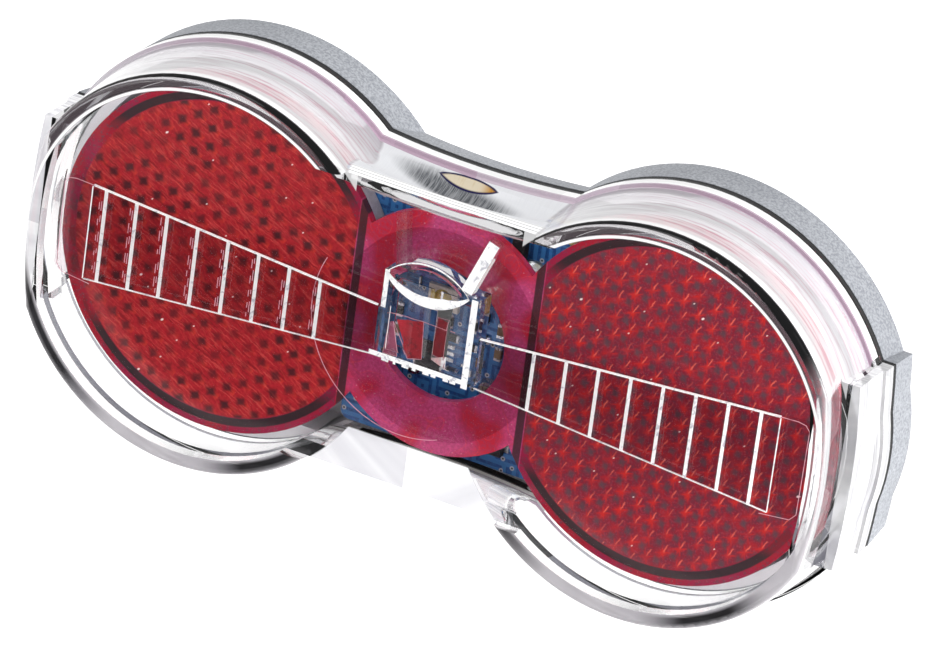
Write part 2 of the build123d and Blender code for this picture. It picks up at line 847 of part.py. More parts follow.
def capacitor_leg_slots():
    clearance = 2 * blade_pin_clearance
    slots = Part()
    for x in capacitor_leg_places():
        width = capacitor_leg_thickness + clearance
        height = capacitor_leg_width + clearance
        slots += brick(x, capacitor_z, width, height, board_front_y, board_back_y)
    return slots


# Plug blades: each is bent from strip, with a narrow pin that goes through the housing to the board
def plug_blade(x, width):
    top_z = bay_ceiling_z - blade_gap_z
    front_y = blade_y - blade_thickness / 2
    back_y = blade_y + blade_thickness / 2
    bevel = blade_tip_bevel
    outline = make_face(
        Polyline(
            (-width / 2, 0),
            (-width / 2, -blade_length + bevel),
            (-width / 2 + bevel, -blade_length),
            (width / 2 - bevel, -blade_length),
            (width / 2, -blade_length + bevel),
            (width / 2, 0),
            close=True,
        )
    )
    hole = Pos(0, -blade_length / 2) * Circle(blade_hole_radius)
    blade = slab(Pos(x, top_z) * (outline - hole), front_y, back_y)
    centre_z = top_z - blade_thickness / 2
    blade += brick(x, centre_z, width, blade_thickness, bay_front_y, back_y)
    pin_front_y = board_front_y - solder_height
    return blade + brick(x, centre_z, blade_pin_width, blade_thickness, pin_front_y, bay_front_y)


def solder_joint(x):
    centre_z = bay_ceiling_z - blade_gap_z - blade_thickness / 2
    seat_y = board_front_y
    tip_radius = solder_radius * solder_tip_share
    mound = cone(x, centre_z, tip_radius, solder_radius, seat_y - solder_height, seat_y)
    return mound - brick(x, centre_z, blade_pin_width, blade_thickness, seat_y - cut_overrun, seat_y)


# Studs: a hexagon head held in the housing, a shoulder through the pad and a free threaded end
def stud_bolt():
    seat_y = housing_floor_y
    top_y = seat_y - head_height
    flat_radius = head_across_flats / 2
    head = slab(Pos(stud_x, 0) * hexagon(head_across_flats), top_y, seat_y)
    crown = cone(stud_x, 0, flat_radius, flat_radius + head_height * math.sqrt(3), top_y, seat_y)
    shank = rod(stud_x, 0, shoulder_radius, seat_y, 0) + rod(stud_x, 0, stud_radius, 0, stud_length)
    shank = chamfer(shank.edges().sort_by(Axis.Y)[-1], stud_tip_bevel)
    return (head & crown) + shank


# All pieces by node name
pieces = {
    "clear_cover": clear_cover(),
    "housing_seal": housing_seal(),
    "rear_housing": rear_housing(),
    "reflector_plate": reflector_plate(),
    "reflector_backing_right": reflector_backing(),
    "reflector_backing_left": mirror(reflector_backing(), about=Plane.YZ),
    "light_guide": light_guide(),
    "circuit_board": circuit_board(),
    "led_package": led_package(),
    "led_dome": led_dome(),
    "controller_chip": controller_chip(),
    "chip_leads": chip_leads(),
    "chip_resistors": on_board(resistor_place_shares, small_part_body),
    "resistor_end_caps": on_board(resistor_place_shares, small_part_caps),
    "ceramic_capacitors": on_board(ceramic_place_shares, small_part_body),
    "capacitor_end_caps": on_board(ceramic_place_shares, small_part_caps),
    "rectifier_diodes": on_board(diode_place_shares, diode_body),
    "diode_tabs": on_board(diode_place_shares, diode_tabs),
    "storage_capacitor": storage_capacitor(),
    "capacitor_legs": capacitor_legs(),
    "board_screw_right": board_screw(),
    "board_screw_left": mirror(board_screw(), about=Plane.YZ),
    "wide_plug_blade": plug_blade(wide_blade_x, wide_blade_width),
    "narrow_plug_blade": plug_blade(narrow_blade_x, narrow_blade_width),
    "blade_solder_joints": [solder_joint(x) for x in (wide_blade_x, narrow_blade_x)],
    "stud_bolt_right": stud_bolt(),
    "stud_bolt_left": mirror(stud_bolt(), about=Plane.YZ),
}

os.makedirs("parts", exist_ok=True)
for name, piece in pieces.items():
    solids = []
    for shape in piece if isinstance(piece, list) else [piece]:
        solids += shape.solids()
    print(name, len(solids), "solids")
    export_step(solids[0] if len(solids) == 1 else Compound(solids), "parts/" + name + ".step")
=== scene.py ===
import math

import bpy
import numpy as np
from mathutils import Matrix, Vector


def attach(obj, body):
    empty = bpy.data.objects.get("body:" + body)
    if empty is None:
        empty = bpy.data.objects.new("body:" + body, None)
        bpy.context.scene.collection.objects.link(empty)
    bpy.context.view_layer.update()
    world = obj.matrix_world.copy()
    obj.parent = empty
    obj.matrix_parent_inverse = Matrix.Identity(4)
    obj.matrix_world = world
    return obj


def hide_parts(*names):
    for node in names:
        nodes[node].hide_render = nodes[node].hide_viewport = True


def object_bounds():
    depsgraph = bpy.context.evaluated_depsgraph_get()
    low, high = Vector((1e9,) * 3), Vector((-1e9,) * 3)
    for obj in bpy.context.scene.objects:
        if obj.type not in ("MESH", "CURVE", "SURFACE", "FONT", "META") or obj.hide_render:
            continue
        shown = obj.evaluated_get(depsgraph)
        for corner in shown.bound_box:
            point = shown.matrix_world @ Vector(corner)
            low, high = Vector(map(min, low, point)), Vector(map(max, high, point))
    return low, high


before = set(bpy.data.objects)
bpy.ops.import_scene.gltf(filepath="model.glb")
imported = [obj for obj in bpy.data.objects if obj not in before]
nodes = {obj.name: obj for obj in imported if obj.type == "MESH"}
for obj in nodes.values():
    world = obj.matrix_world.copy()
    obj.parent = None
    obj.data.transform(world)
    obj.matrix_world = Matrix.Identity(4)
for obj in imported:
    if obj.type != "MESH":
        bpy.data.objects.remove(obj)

print("frame loaded")
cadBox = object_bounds()
millimetre = 0.001
white = (1, 1, 1, 1)
sides = (("right", 1), ("left", -1))
scene = bpy.context.scene
scene.view_settings.view_transform = "Standard"


# sRGB hex to linear, one channel at a time: a straight part near black, then a power of 2.4
def toLinear(hexColour):
    channels = [int(hexColour[i : i + 2], 16) / 255 for i in (0, 2, 4)]
    linear = [c / 12.92 if c <= 0.04045 else ((c + 0.055) / 1.055) ** 2.4 for c in channels]
    return (*linear, 1.0)


# adds one node and returns one of its outputs: inputs come in order, or as a dictionary by name or
# number, each a socket to link or a plain value, and settings are the node's properties
def addNode(tree, kind, *inputs, output=0, **settings):
    node = tree.nodes.new("ShaderNode" + kind)
    for name, value in settings.items():
        setattr(node, name, value)
    named = inputs[0] if inputs and isinstance(inputs[0], dict) else dict(enumerate(inputs))
    for name, value in named.items():
        if isinstance(value, bpy.types.NodeSocket):
            tree.links.new(value, node.inputs[name])
        else:
            node.inputs[name].default_value = value
    return node.outputs[output] if node.outputs else node


# a term (value, ">", limit) is 1 or 0, and a term (value, from, to) rises softly from 0 to 1, or between
# the two levels that follow; any other term is a value or a socket already
def readTerm(tree, term):
    if not isinstance(term, tuple):
        return term
    if term[1] in ("<", ">"):
        operation = "LESS_THAN" if term[1] == "<" else "GREATER_THAN"
        return addNode(tree, "Math", term[0], term[2], operation=operation)
    return addNode(tree, "MapRange", *term, interpolation_type="SMOOTHSTEP")


# the product of all terms
def share(tree, *terms):
    result = readTerm(tree, terms[0])
    for term in terms[1:]:
        result = addNode(tree, "Math", result, readTerm(tree, term), operation="MULTIPLY")
    return result


# the largest of all terms
def largest(tree, *terms):
    result = readTerm(tree, terms[0])
    for term in terms[1:]:
        result = addNode(tree, "Math", result, readTerm(tree, term), operation="MAXIMUM")
    return result


# paint in layers: each layer is a colour, as hex or a socket, and the terms of the share that it covers
def layered(tree, base, *layers):
    colour = toLinear(base) if isinstance(base, str) else base
    for tone, *terms in layers:
        tone = toLinear(tone) if isinstance(tone, str) else tone
        mixed = {0: share(tree, *terms), 6: colour, 7: tone}
        colour = addNode(tree, "Mix", mixed, output=2, data_type="RGBA")
    return colour


def newMaterial(name):
    material = bpy.data.materials.new(name)
    material.use_nodes = True
    material.node_tree.nodes.clear()
    return material, material.node_tree


def finishMaterial(material, shader):
    addNode(material.node_tree, "OutputMaterial", shader)
    return material


def dress(material, *names):
    for name in names:
        mesh = nodes[name].data
        mesh.materials.clear()
        mesh.materials.append(material)


# camera
cameraSettings = {
    "position": (366.0, -809.7, 406.9),  # mm
    "azimuth": 24.53,  # degrees, as are the next two
    "tilt": 65.16,
    "roll": 7.84,
    "focalLength": 350.35,  # mm, as is the next
    "sensorWidth": 36.0,
    "shiftRight": -0.0014,  # shares of the picture's width
    "shiftUp": -0.0007,
    "nearest": 0.01,  # m
    "farthest": 20,
}


def makeCamera(values):
    data = bpy.data.cameras.new("photoCamera")
    data.sensor_fit = "HORIZONTAL"
    data.sensor_width = values["sensorWidth"]
    data.lens = values["focalLength"]
    data.clip_start, data.clip_end = values["nearest"], values["farthest"]
    data.shift_x, data.shift_y = values["shiftRight"], values["shiftUp"]
    camera = bpy.data.objects.new("photoCamera", data)
    turn = (
        Matrix.Rotation(math.radians(values["azimuth"]), 4, "Z")
        @ Matrix.Rotation(math.radians(values["tilt"]), 4, "X")
        @ Matrix.Rotation(math.radians(values["roll"]), 4, "Z")
    )
    camera.matrix_world = Matrix.Translation(Vector(values["position"]) * millimetre) @ turn
    scene.collection.objects.link(camera)
    scene.camera = camera


makeCamera(cameraSettings)
print("camera placed")

# studio
studio = {
    "worldLight": 0.62,
    "floorDrop": 0.12,  # m below the lamp
    "floorRadius": 3.0,
    "floorColour": "EFEFEF",
    "floorLift": 0.55,
    "clothRadius": 0.11,  # m, as are the next two
    "clothPlace": (-0.13, -0.30),
    "clothHeight": 0.002,
    "clothColour": "1E1E1E",
    # name, power in W, and diameter and place in m
    "lamps": (
        ("keyLamp", 3.2, 0.5, (-0.35, -0.55, 0.75)),
        ("fillLamp", 1.2, 0.7, (0.8, -0.4, 0.3)),
        ("endLamp", 11.0, 0.6, (1.1, 0.3, 0.15)),
    ),
}


def seenDirectly(tree):
    path = addNode(tree, "LightPath").node.outputs
    return largest(tree, path["Is Camera Ray"], path["Is Glossy Ray"], path["Is Transmission Ray"])


def makeWorld(values):
    world = bpy.data.worlds.new("whiteStudio")
    world.use_nodes = True
    tree = world.node_tree
    tree.nodes.clear()
    strength = addNode(tree, "MapRange", seenDirectly(tree), 0.0, 1.0, values["worldLight"], 1.0)
    addNode(tree, "OutputWorld", addNode(tree, "Background", white, strength))
    scene.world = world


# the floor is white to the eye and keeps the lamp's soft shadow
def makeFloor(values):
    bpy.ops.mesh.primitive_circle_add(vertices=96, radius=values["floorRadius"], fill_type="NGON")
    floor = bpy.context.object
    floor.name = "studioFloor"
    floor.location.z = cadBox[0][2] - values["floorDrop"]
    material, tree = newMaterial("paintedStudioFloor")
    paint = addNode(tree, "BsdfDiffuse", toLinear(values["floorColour"]))
    glow = addNode(tree, "Emission", white, share(tree, seenDirectly(tree), values["floorLift"]))
    floor.data.materials.append(finishMaterial(material, addNode(tree, "AddShader", paint, glow)))


# a round black cloth lies on the floor where the flat pane would mirror it
def makeCloth(values):
    bpy.ops.mesh.primitive_circle_add(vertices=64, radius=values["clothRadius"], fill_type="NGON")
    cloth = bpy.context.object
    cloth.name = "studioCloth"
    height = cadBox[0][2] - values["floorDrop"] + values["clothHeight"]
    cloth.location = (*values["clothPlace"], height)
    material, tree = newMaterial("blackStudioCloth")
    felt = addNode(tree, "Emission", toLinear(values["clothColour"]))
    cloth.data.materials.append(finishMaterial(material, felt))
    cloth.visible_camera = cloth.visible_diffuse = cloth.visible_shadow = False


def makeLamp(name, power, size, place):
    data = bpy.data.lights.new(name, "AREA")
    data.energy = power
    data.shape = "DISK"
    data.size = size
    lamp = bpy.data.objects.new(name, data)
    lamp.location = place
    lamp.rotation_euler = (-Vector(place)).to_track_quat("-Z", "Y").to_euler()
    scene.collection.objects.link(lamp)


makeWorld(studio)
makeFloor(studio)
makeCloth(studio)
for lampValues in studio["lamps"]:
    makeLamp(*lampValues)
print("studio lit")


def meshObject(name, points, faces):
    mesh = bpy.data.meshes.new(name)
    mesh.from_pydata(points.reshape(-1, 3).tolist(), [], faces)
    mesh.update()
    piece = bpy.data.objects.new(name, mesh)
    scene.collection.objects.link(piece)
    return piece


# four-sided blocks, in mm: each has a front face of four points and a vector from it to its back face
def blocksObject(name, fronts, depths):
    fronts = np.array(fronts, float) * millimetre
    depths = np.broadcast_to(depths, (len(fronts), 3)) * millimetre
    normals = np.cross(fronts[:, 1] - fronts[:, 0], fronts[:, 3] - fronts[:, 0])
    turned = (normals * depths).sum(axis=1) > 0  # a front that would face inwards runs the other way
    fronts[turned] = fronts[turned][:, ::-1]
    points = np.concatenate([fronts, fronts + depths[:, None, :]], axis=1)
    block = np.array([(0, 1, 2, 3), (1, 0, 4, 5), (2, 1, 5, 6), (3, 2, 6, 7), (0, 3, 7, 4), (4, 7, 6, 5)])
    faces = (block[None] + 8 * np.arange(len(fronts))[:, None, None]).reshape(-1, 4)
    return meshObject(name, points, faces.tolist())


# a tube from a grid of points, in mm: each row is a closed ring joined to the next, with a face at each end
def tubeObject(name, points):
    rows, columns = points.shape[:2]
    left = np.arange(rows * columns).reshape(rows, columns)
    right = np.roll(left, -1, axis=1)
    quads = np.stack([left[:-1], left[1:], right[1:], right[:-1]], axis=-1).reshape(-1, 4)
    faces = quads.tolist() + [left[0].tolist(), left[-1][::-1].tolist()]
    return meshObject(name, points * millimetre, faces)


# object coordinates in millimetres, laid flat: x across the lamp, y up and z towards its back
def flatMillimetres(tree):
    x, y, z = addNode(tree, "SeparateXYZ", addNode(tree, "TexCoord", output="Object")).node.outputs
    flat = addNode(tree, "CombineXYZ", x, z, y)
    return addNode(tree, "VectorMath", {0: flat, "Scale": 1 / millimetre}, operation="SCALE")


# the length of a step across and up
def planeLength(tree, across, up):
    flat = addNode(tree, "CombineXYZ", across, up)
    return addNode(tree, "VectorMath", flat, output="Value", operation="LENGTH")


# 1 at the middle of a band, falling smoothly to 0 at both of its edges
def band(tree, value, middle, half):
    away = addNode(tree, "Math", value, middle, operation="SUBTRACT")
    return share(tree, (addNode(tree, "Math", away, operation="ABSOLUTE"), half, 0.3 * half))


# a small part's finish: two tones by a fine grain in mm, with roughness and relief that follow it
def surfaced(name, values):
    material, tree = newMaterial(name)
    stretch = {"Vector": flatMillimetres(tree), "Scale": values.get("stretch", (1, 1, 1))}
    place = addNode(tree, "Mapping", stretch)
    settings = {"Vector": place, "Scale": 1 / values["grain"], "Detail": 4, "Roughness": 0.6}
    grain = addNode(tree, "TexNoise", settings)
    relief = {"Height": grain, "Strength": values.get("relief", 0.3), "Distance": 0.00002}
    look = {
        "Base Color": layered(tree, values["tones"][0], (values["tones"][1], (grain, 0.35, 0.65))),
        "Roughness": share(tree, (grain, 0.3, 0.7, *values["rough"])),
        "Metallic": values.get("metallic", 0.0),
        "Coat Weight": values.get("coat", 0.0),
        "Normal": addNode(tree, "Bump", relief),
    }
    return finishMaterial(material, addNode(tree, "BsdfPrincipled", look))


# red reflector plate
reflector = {
    "lobeCentre": 26.8,  # mm, as are the other sizes
    "prismPitch": 2.15,
    "leftShift": (-0.08, -0.44),
    "unevenness": 0.45,
    "ringOuter": 19.1,
    "ringInner": 18.1,
    "chord": 10.7,
    # each grain's size, with its detail and roughness
    "grains": {
        "broad": (7.0, 2, 0.5),
        "medium": (1.4, 2, 0.5),
        "fine": (0.35, 3, 0.6),
        "patches": (2.8, 3, 0.6),
        "grizzle": (0.22, 2, 0.7),
        "ring": (2.4, 2, 0.5),
        "middle": (5.0, 1, 0.5),
        "ripple": (3.0, 1, 0.5),
    },
    # each kind of fibre: its angle in degrees, width, level and colour
    "fibres": (
        (-23, 0.17, 0.6, "DE4A44"),
        (-32, 0.22, 0.45, "E0564C"),
        (-52, 0.25, 0.35, "D8443C"),
        (-26, 0.3, 0.6, "701019"),
    ),
    "fibreLength": 2.6,  # on the same scale as the width
    "spokes": ((18, 0.75), (100, 0.7), (67, 0.6)),  # degrees and half length
    "spokeHalf": 0.08,
    # each mark of a cell: its angle in degrees, half length, half width, centre and softness
    "darkSquare": (15, 0.5, 0.46, (0, 0), 0.6),
    "warmMark": (-30, 0.6, 0.3, (0.95, -0.5), 0.9),
    "starCore": (40, 0.3, 0.26, (-0.1, -0.1), 0.9),
    "starDash": (64, 0.5, 0.07, (0.3, 0.62), 0.6),
    "greyMark": (75, 0.36, 0.32, (0, 0), 0.75),
    # each kind of painted glint: spacing, how many cells have one, size and level
    "sparkles": ((3.4, 0.12, 0.14, 1.0), (1.7, 0.14, 0.09, 0.8)),
    "sparkleTurn": 40,  # degrees
    "sparkleLength": 1.8,  # times their width
    "middleSparkles": (1.1, 0.22, 0.09),
    "outlineCount": 9.0,
    "pushScale": 1.1,  # per mm
    "leftField": "B4202A",
    "leftShade": "86141F",
    "warmPatch": "DE3A26",
    "darkDot": "34181F",
    "rightField": "8F1D2E",
    "rightShade": "72283A",
    "rightRed": "B01F28",
    "rightGrizzle": "A03A4C",
    "brightRed": "D42824",
    "pinkDash": "EE6A58",
    "greyDot": "52404A",
    "sparkle": "FFE8E4",
    "rim": "A3122A",
    "rimMagenta": "96163E",
    "rimSpeckle": "5A3A48",
    "ringDark": "2B2428",
    "middle": "CC4A82",
    "middleRed": "C42038",
    "middleShade": "9A3558",
    "middleSparkle": "D98FA8",
    "outline": "EE4A50",
    "darkBar": "2E2226",
}


# nearest point of a lattice of hexagons: a rectangular lattice and its copy half a cell away,
# whichever is nearer
def latticeOffset(tree, place, pitch, shift):
    cell = Vector((pitch * math.sqrt(3), pitch, 1e6))
    moved = addNode(tree, "VectorMath", place, (-shift[0], -shift[1], 0), operation="ADD")
    other = addNode(tree, "VectorMath", moved, (cell.x / 2, cell.y / 2, 0), operation="ADD")
    near = [addNode(tree, "VectorMath", at, cell / 2, -cell / 2, operation="WRAP") for at in (moved, other)]
    size = [addNode(tree, "VectorMath", at, output="Value", operation="LENGTH") for at in near]
    choice = {0: share(tree, (size[1], "<", size[0])), 4: near[0], 5: near[1]}
    return addNode(tree, "Mix", choice, output=1, data_type="VECTOR")


# a soft-edged bar near the lattice point, turned by an angle: 1 inside, 0 outside
def bar(tree, offset, angle, halfLength, halfWidth, centre=(0, 0), softness=0.7):
    moved = addNode(tree, "VectorMath", offset, (-centre[0], -centre[1], 0), operation="ADD")
    turn = {"Vector": moved, "Angle": -math.radians(angle)}
    turned = addNode(tree, "VectorRotate", turn, rotation_type="Z_AXIS")
    scaled = addNode(tree, "VectorMath", turned, (1 / halfLength, 1 / halfWidth, 0), operation="MULTIPLY")
    apart = addNode(tree, "VectorMath", scaled, operation="ABSOLUTE")
    along, across, _ = addNode(tree, "SeparateXYZ", apart).node.outputs
    return share(tree, (largest(tree, along, across), 1 - softness, 1 + softness, 1, 0))


# few scattered points: cells of a Voronoi pattern whose own number is high, near their middle
def sparkles(tree, place, spacing, fraction, size):
    pattern = {"Vector": place, "Scale": 1 / spacing}
    cells = addNode(tree, "TexVoronoi", pattern, voronoi_dimensions="2D").node.outputs
    chance = addNode(tree, "SeparateColor", cells["Color"])
    small = (cells["Distance"], size / spacing, 0.5 * size / spacing, 0, 1)
    return share(tree, (chance, ">", 1 - fraction), small)


# transparent red PMMA, moulded with corner cubes behind: a gloss front over rows of dark and bright cells
def redReflector(values):
    material, tree = newMaterial("mouldedRedPmma")
    place = flatMillimetres(tree)
    x, z, _ = addNode(tree, "SeparateXYZ", place).node.outputs
    width = addNode(tree, "Math", x, operation="ABSOLUTE")
    height = addNode(tree, "Math", z, operation="ABSOLUTE")
    fromLobe = addNode(tree, "Math", width, values["lobeCentre"], operation="SUBTRACT")
    radius = planeLength(tree, fromLobe, z)
    grains = {}
    for name, (size, detail, rough) in values["grains"].items():
        settings = {"Vector": place, "Scale": 1 / size, "Detail": detail, "Roughness": rough}
        grains[name] = addNode(tree, "TexNoise", settings)
    broad, fine = grains["broad"], grains["fine"]

    # moulded cells are uneven: their pattern is pushed about a little
    settings = {"Vector": place, "Scale": values["pushScale"], "Detail": 3.0, "Roughness": 0.65}
    push = addNode(tree, "TexNoise", settings, output=1)
    push = addNode(tree, "VectorMath", push, (0.5, 0.5, 0.5), operation="SUBTRACT")
    push = addNode(tree, "VectorMath", {0: push, "Scale": values["unevenness"]}, operation="SCALE")
    cells = addNode(tree, "VectorMath", place, push, operation="ADD")

    # left disc: dark soft dots, warm patches beside them, fine pale and dark fibres that fall to the right
    dots = latticeOffset(tree, cells, values["prismPitch"], values["leftShift"])
    strength = share(tree, (broad, 0.36, 0.6, 0.45, 1.0))
    square = bar(tree, dots, *values["darkSquare"])
    warm = bar(tree, dots, *values["warmMark"])
    left = layered(
        tree,
        values["leftField"],
        (values["leftShade"], (fine, 0.35, 0.65, 0, 0.55)),
        (values["warmPatch"], warm, strength, 0.5),
    )
    for angle, span, level, colour in values["fibres"]:
        turn = {"Vector": cells, "Rotation": (0, 0, math.radians(angle))}
        turn["Scale"] = (values["fibreLength"], span, 1)
        along = addNode(tree, "Mapping", turn, vector_type="TEXTURE")
        fibre = addNode(tree, "TexNoise", {"Vector": along, "Scale": 1.0})
        left = layered(tree, left, (colour, (fibre, 0.56, 0.7, 0, level)))
    left = layered(tree, left, (values["darkDot"], square, strength, 0.9))

    # right disc: red stars with pink dashes, grey dots between them
    third = values["prismPitch"] / math.sqrt(3)
    star = latticeOffset(tree, cells, values["prismPitch"], (third, 0))
    between = latticeOffset(tree, cells, values["prismPitch"], (-third, 0))
    spokes = [bar(tree, star, *spoke, values["spokeHalf"]) for spoke in values["spokes"]]
    core = bar(tree, star, *values["starCore"])
    dash = bar(tree, star, *values["starDash"])
    greyDots = bar(tree, between, *values["greyMark"])
    patches = share(tree, (grains["patches"], 0.35, 0.62, 0.25, 1))
    right = layered(
        tree,
        values["rightField"],
        (values["rightShade"], (fine, 0.35, 0.65)),
        (values["rightRed"], (grains["medium"], 0.48, 0.7, 0, 0.8)),
        (values["rightGrizzle"], (grains["grizzle"], 0.5, 0.68, 0, 0.7)),
        (values["brightRed"], largest(tree, *spokes, core), patches, 0.9),
        (values["pinkDash"], dash, patches, 0.9),
        (values["greyDot"], greyDots, 0.8),
    )
    field = layered(tree, right, (left, (x, "<", 0.0)))
    # painted glints: scattered pale sparkles stand in for light caught by single prisms
    turn = {"Vector": place, "Rotation": (0, 0, math.radians(values["sparkleTurn"]))}
    turn["Scale"] = (values["sparkleLength"], 1, 1)
    turned = addNode(tree, "Mapping", turn, vector_type="TEXTURE")
    for *kind, level in values["sparkles"]:
        field = layered(tree, field, (values["sparkle"], sparkles(tree, turned, *kind), level))

    # smooth rim beyond the prisms, and the dark weld ring behind it, darkest above and below
    rim = layered(
        tree,
        values["rim"],
        (values["rimMagenta"], (broad, 0.4, 0.6)),
        (values["rimSpeckle"], (fine, 0.52, 0.62, 0, 0.6)),
    )
    inner, outer = values["ringInner"], values["ringOuter"]
    onRing = share(tree, (radius, inner - 0.05, inner + 0.1), (radius, outer + 0.05, outer - 0.1))
    darkRing = largest(tree, (height, 10.0, 13.0), (grains["ring"], 0.5, 0.62, 0, 0.5))
    discs = layered(
        tree,
        field,
        (rim, (radius, inner - 0.15, inner + 0.05)),
        (values["ringDark"], onRing, darkRing, 0.95),
    )

    # middle disc: magenta with red patches, faint outlines and painted glints, between the two dark bars
    bands = addNode(tree, "Math", grains["middle"], values["outlineCount"], operation="MULTIPLY")
    bands = addNode(tree, "Math", bands, 0.5, operation="PINGPONG")
    fromBar = addNode(tree, "Math", width, values["chord"], operation="SUBTRACT")
    fromBar = addNode(tree, "Math", fromBar, operation="ABSOLUTE")
    colour = layered(
        tree,
        values["middle"],
        (values["middleRed"], (grains["middle"], 0.38, 0.6)),
        (values["outline"], (bands, 0.05, 0.0, 0, 0.55)),
        (values["middleShade"], (fine, 0.38, 0.62, 0, 0.5)),
        (values["middleSparkle"], sparkles(tree, place, *values["middleSparkles"]), 0.6),
        (values["darkBar"], (fromBar, 0.55, 0.4), 0.9),
        (discs, (width, values["chord"] + 0.5, values["chord"] + 0.62)),
    )

    relief = {"Height": grains["ripple"], "Strength": 0.03, "Distance": 0.0002}
    look = {"Base Color": colour, "Roughness": 0.22, "IOR": 1.49, "Normal": addNode(tree, "Bump", relief)}
    return finishMaterial(material, addNode(tree, "BsdfPrincipled", look))


dress(redReflector(reflector), "reflector_plate")
print("reflector painted")

# what both clear parts share
clearPlastic = {
    "look": {"Base Color": white, "IOR": 1.49, "Roughness": 0.0, "Transmission Weight": 1.0},
    # tint and strength of the painted glow that stands in for the studio
    "studio": "F8F7F9",
    "studioLight": 0.85,
    "mirrorings": 2.5,  # light mirrored more often, or that met more surfaces, is replaced by the painted studio glow
    "surfaces": 8.5,
    "lampLight": "F4F4F4",
}


# painted glow: light that has been mirrored often inside a clear part is a pale painted glow standing in
# for the studio, and lamps shine straight through
def finishClear(material, tree, body, values):
    path = addNode(tree, "LightPath").node.outputs
    mirrored = (path["Glossy Depth"], ">", values["mirrorings"])
    often = largest(tree, mirrored, (path["Ray Depth"], ">", values["surfaces"]))
    paintedStudioGlow = addNode(tree, "Emission", toLinear(values["studio"]), values["studioLight"])
    inside = addNode(tree, "MixShader", often, body, paintedStudioGlow)
    openWay = addNode(tree, "BsdfTransparent", toLinear(values["lampLight"]))
    return finishMaterial(material, addNode(tree, "MixShader", path["Is Shadow Ray"], inside, openWay))


# clear cover
cover = {
    "lobeCentre": 26.8,  # mm, as are the other sizes
    "lobeFront": 22.6,
    "lobeSlope": 0.0895,
    "frontY": -20.0,
    "lipWidth": 1.7,
    "lipRound": 0.7,
    "lipBack": -19.25,
    "wallFromX": 10.0,
    "wallToX": 47.8,
    "rimY": -10.6,
    "rimWhiteY": -10.3,
    "rimBlackY": -9.05,
    "bandHalf": 16.5,
    "bandZ": 15.0,
    "waistZ": 14.9,
    "waistFrontY": -18.45,
    "landY": -17.1,
    "landHalf": 16.0,
    "landZ": 11.75,
    "landBackY": -18.4,
    "lowWaistZ": -13.2,
    "lowWaistHalf": 12.5,
    "lowWaistFrontY": -18.3,
    "endX": 48.3,
    "endLipX": 46.35,
    "endLipBack": -18.6,
    "endLineX": 50.2,
    "streakSize": 0.38,
    "glint": (-0.4, -11.4),
    "glintOuter": (3.6, 0.64, 0.05),  # half length, half width and soft edge
    "glintInner": (3.15, 0.42, 0.08),
    "shadeX": -1.0,
    "shadeY": -12.8,
    "shadeSlope": -0.09,
    "shadeLength": 8.4,
    "shadeWidth": 1.55,
    "streakTurn": 0.016,  # mm of streak for each degree
    "lipTaper": ((14, 40), (158, 132)),  # turns round a lobe in degrees, from and to, as is the next
    "whiteTurn": (-5, 15),
    "lowDarkTurns": ((-146, 38), (-60, 24)),  # turns, each a middle and half a width
    # painted light lines along the lip, each a middle and half a width: 0 is at the wall and 2 at the inner
    # edge
    "whiteEdge": (0.35, 0.12),
    "thinDark": (1.52, 0.07),
    "whiteLine": (1.82, 0.3),
    "lowDark": (1.3, 0.75),
    "darkReach": (50, 120, 1.15, 0.8),  # from turn to turn, the painted dark reflection band's width falls
    "lipLower": (-3, -7, 0.15, 0.78),  # from height to height, more of the lip is painted
    "wallPaintedLight": 0.6,  # shares of the painted pale light over the side walls and the right end
    "endPaintedLight": 0.5,
    # painted light: the colours below paint reflections, highlights and light seen in the clear plastic
    # onto it
    "wall": "D2CDD4",
    "wallFront": "F4F3F5",
    "wallStreak": "B4AFB8",
    "wallPink": "D98BA0",
    "rim": "DAD6DC",
    "rimMauve": "BBA2B4",
    "rimBlack": "121214",
    "end": "FBFBFC",
    "endStreak": "D5D4D9",
    "endLine": "3A3A40",
    "lipDark": "9A949B",
    "lipPale": "E6E2E6",
    "lipUpper": "B8A7B0",
    "lipBlack": "0A0A0C",
    "edge": "FFFFFF",
    "spoonReflection": "DFE0E3",
    "spoonReflectionStreak": "B8BAC0",
    "grey": "4C4F54",
    "highlight": "D6CAB2",
    "gold": "B8821E",
    "goldStreak": "C9B48C",
    "deepBlue": "141040",
    "landLine": "34363C",
    "lower": "FAFAFB",
    "lowerBand": "CFCDD2",
}


# an almond between two arcs of one radius: 1 inside and 0 outside, with a soft edge
def almond(tree, along, across, halfLength, halfWidth, soft):
    radius = (halfLength**2 + halfWidth**2) / (2 * halfWidth)
    reach = []
    for shift in (halfWidth - radius, radius - halfWidth):
        moved = addNode(tree, "Math", across, shift, operation="ADD")
        square = addNode(tree, "Math", moved, moved, operation="MULTIPLY")
        total = addNode(tree, "Math", along, along, square, operation="MULTIPLY_ADD")
        reach.append(addNode(tree, "Math", total, operation="SQRT"))
    return share(tree, (largest(tree, *reach), radius + soft, radius - soft))
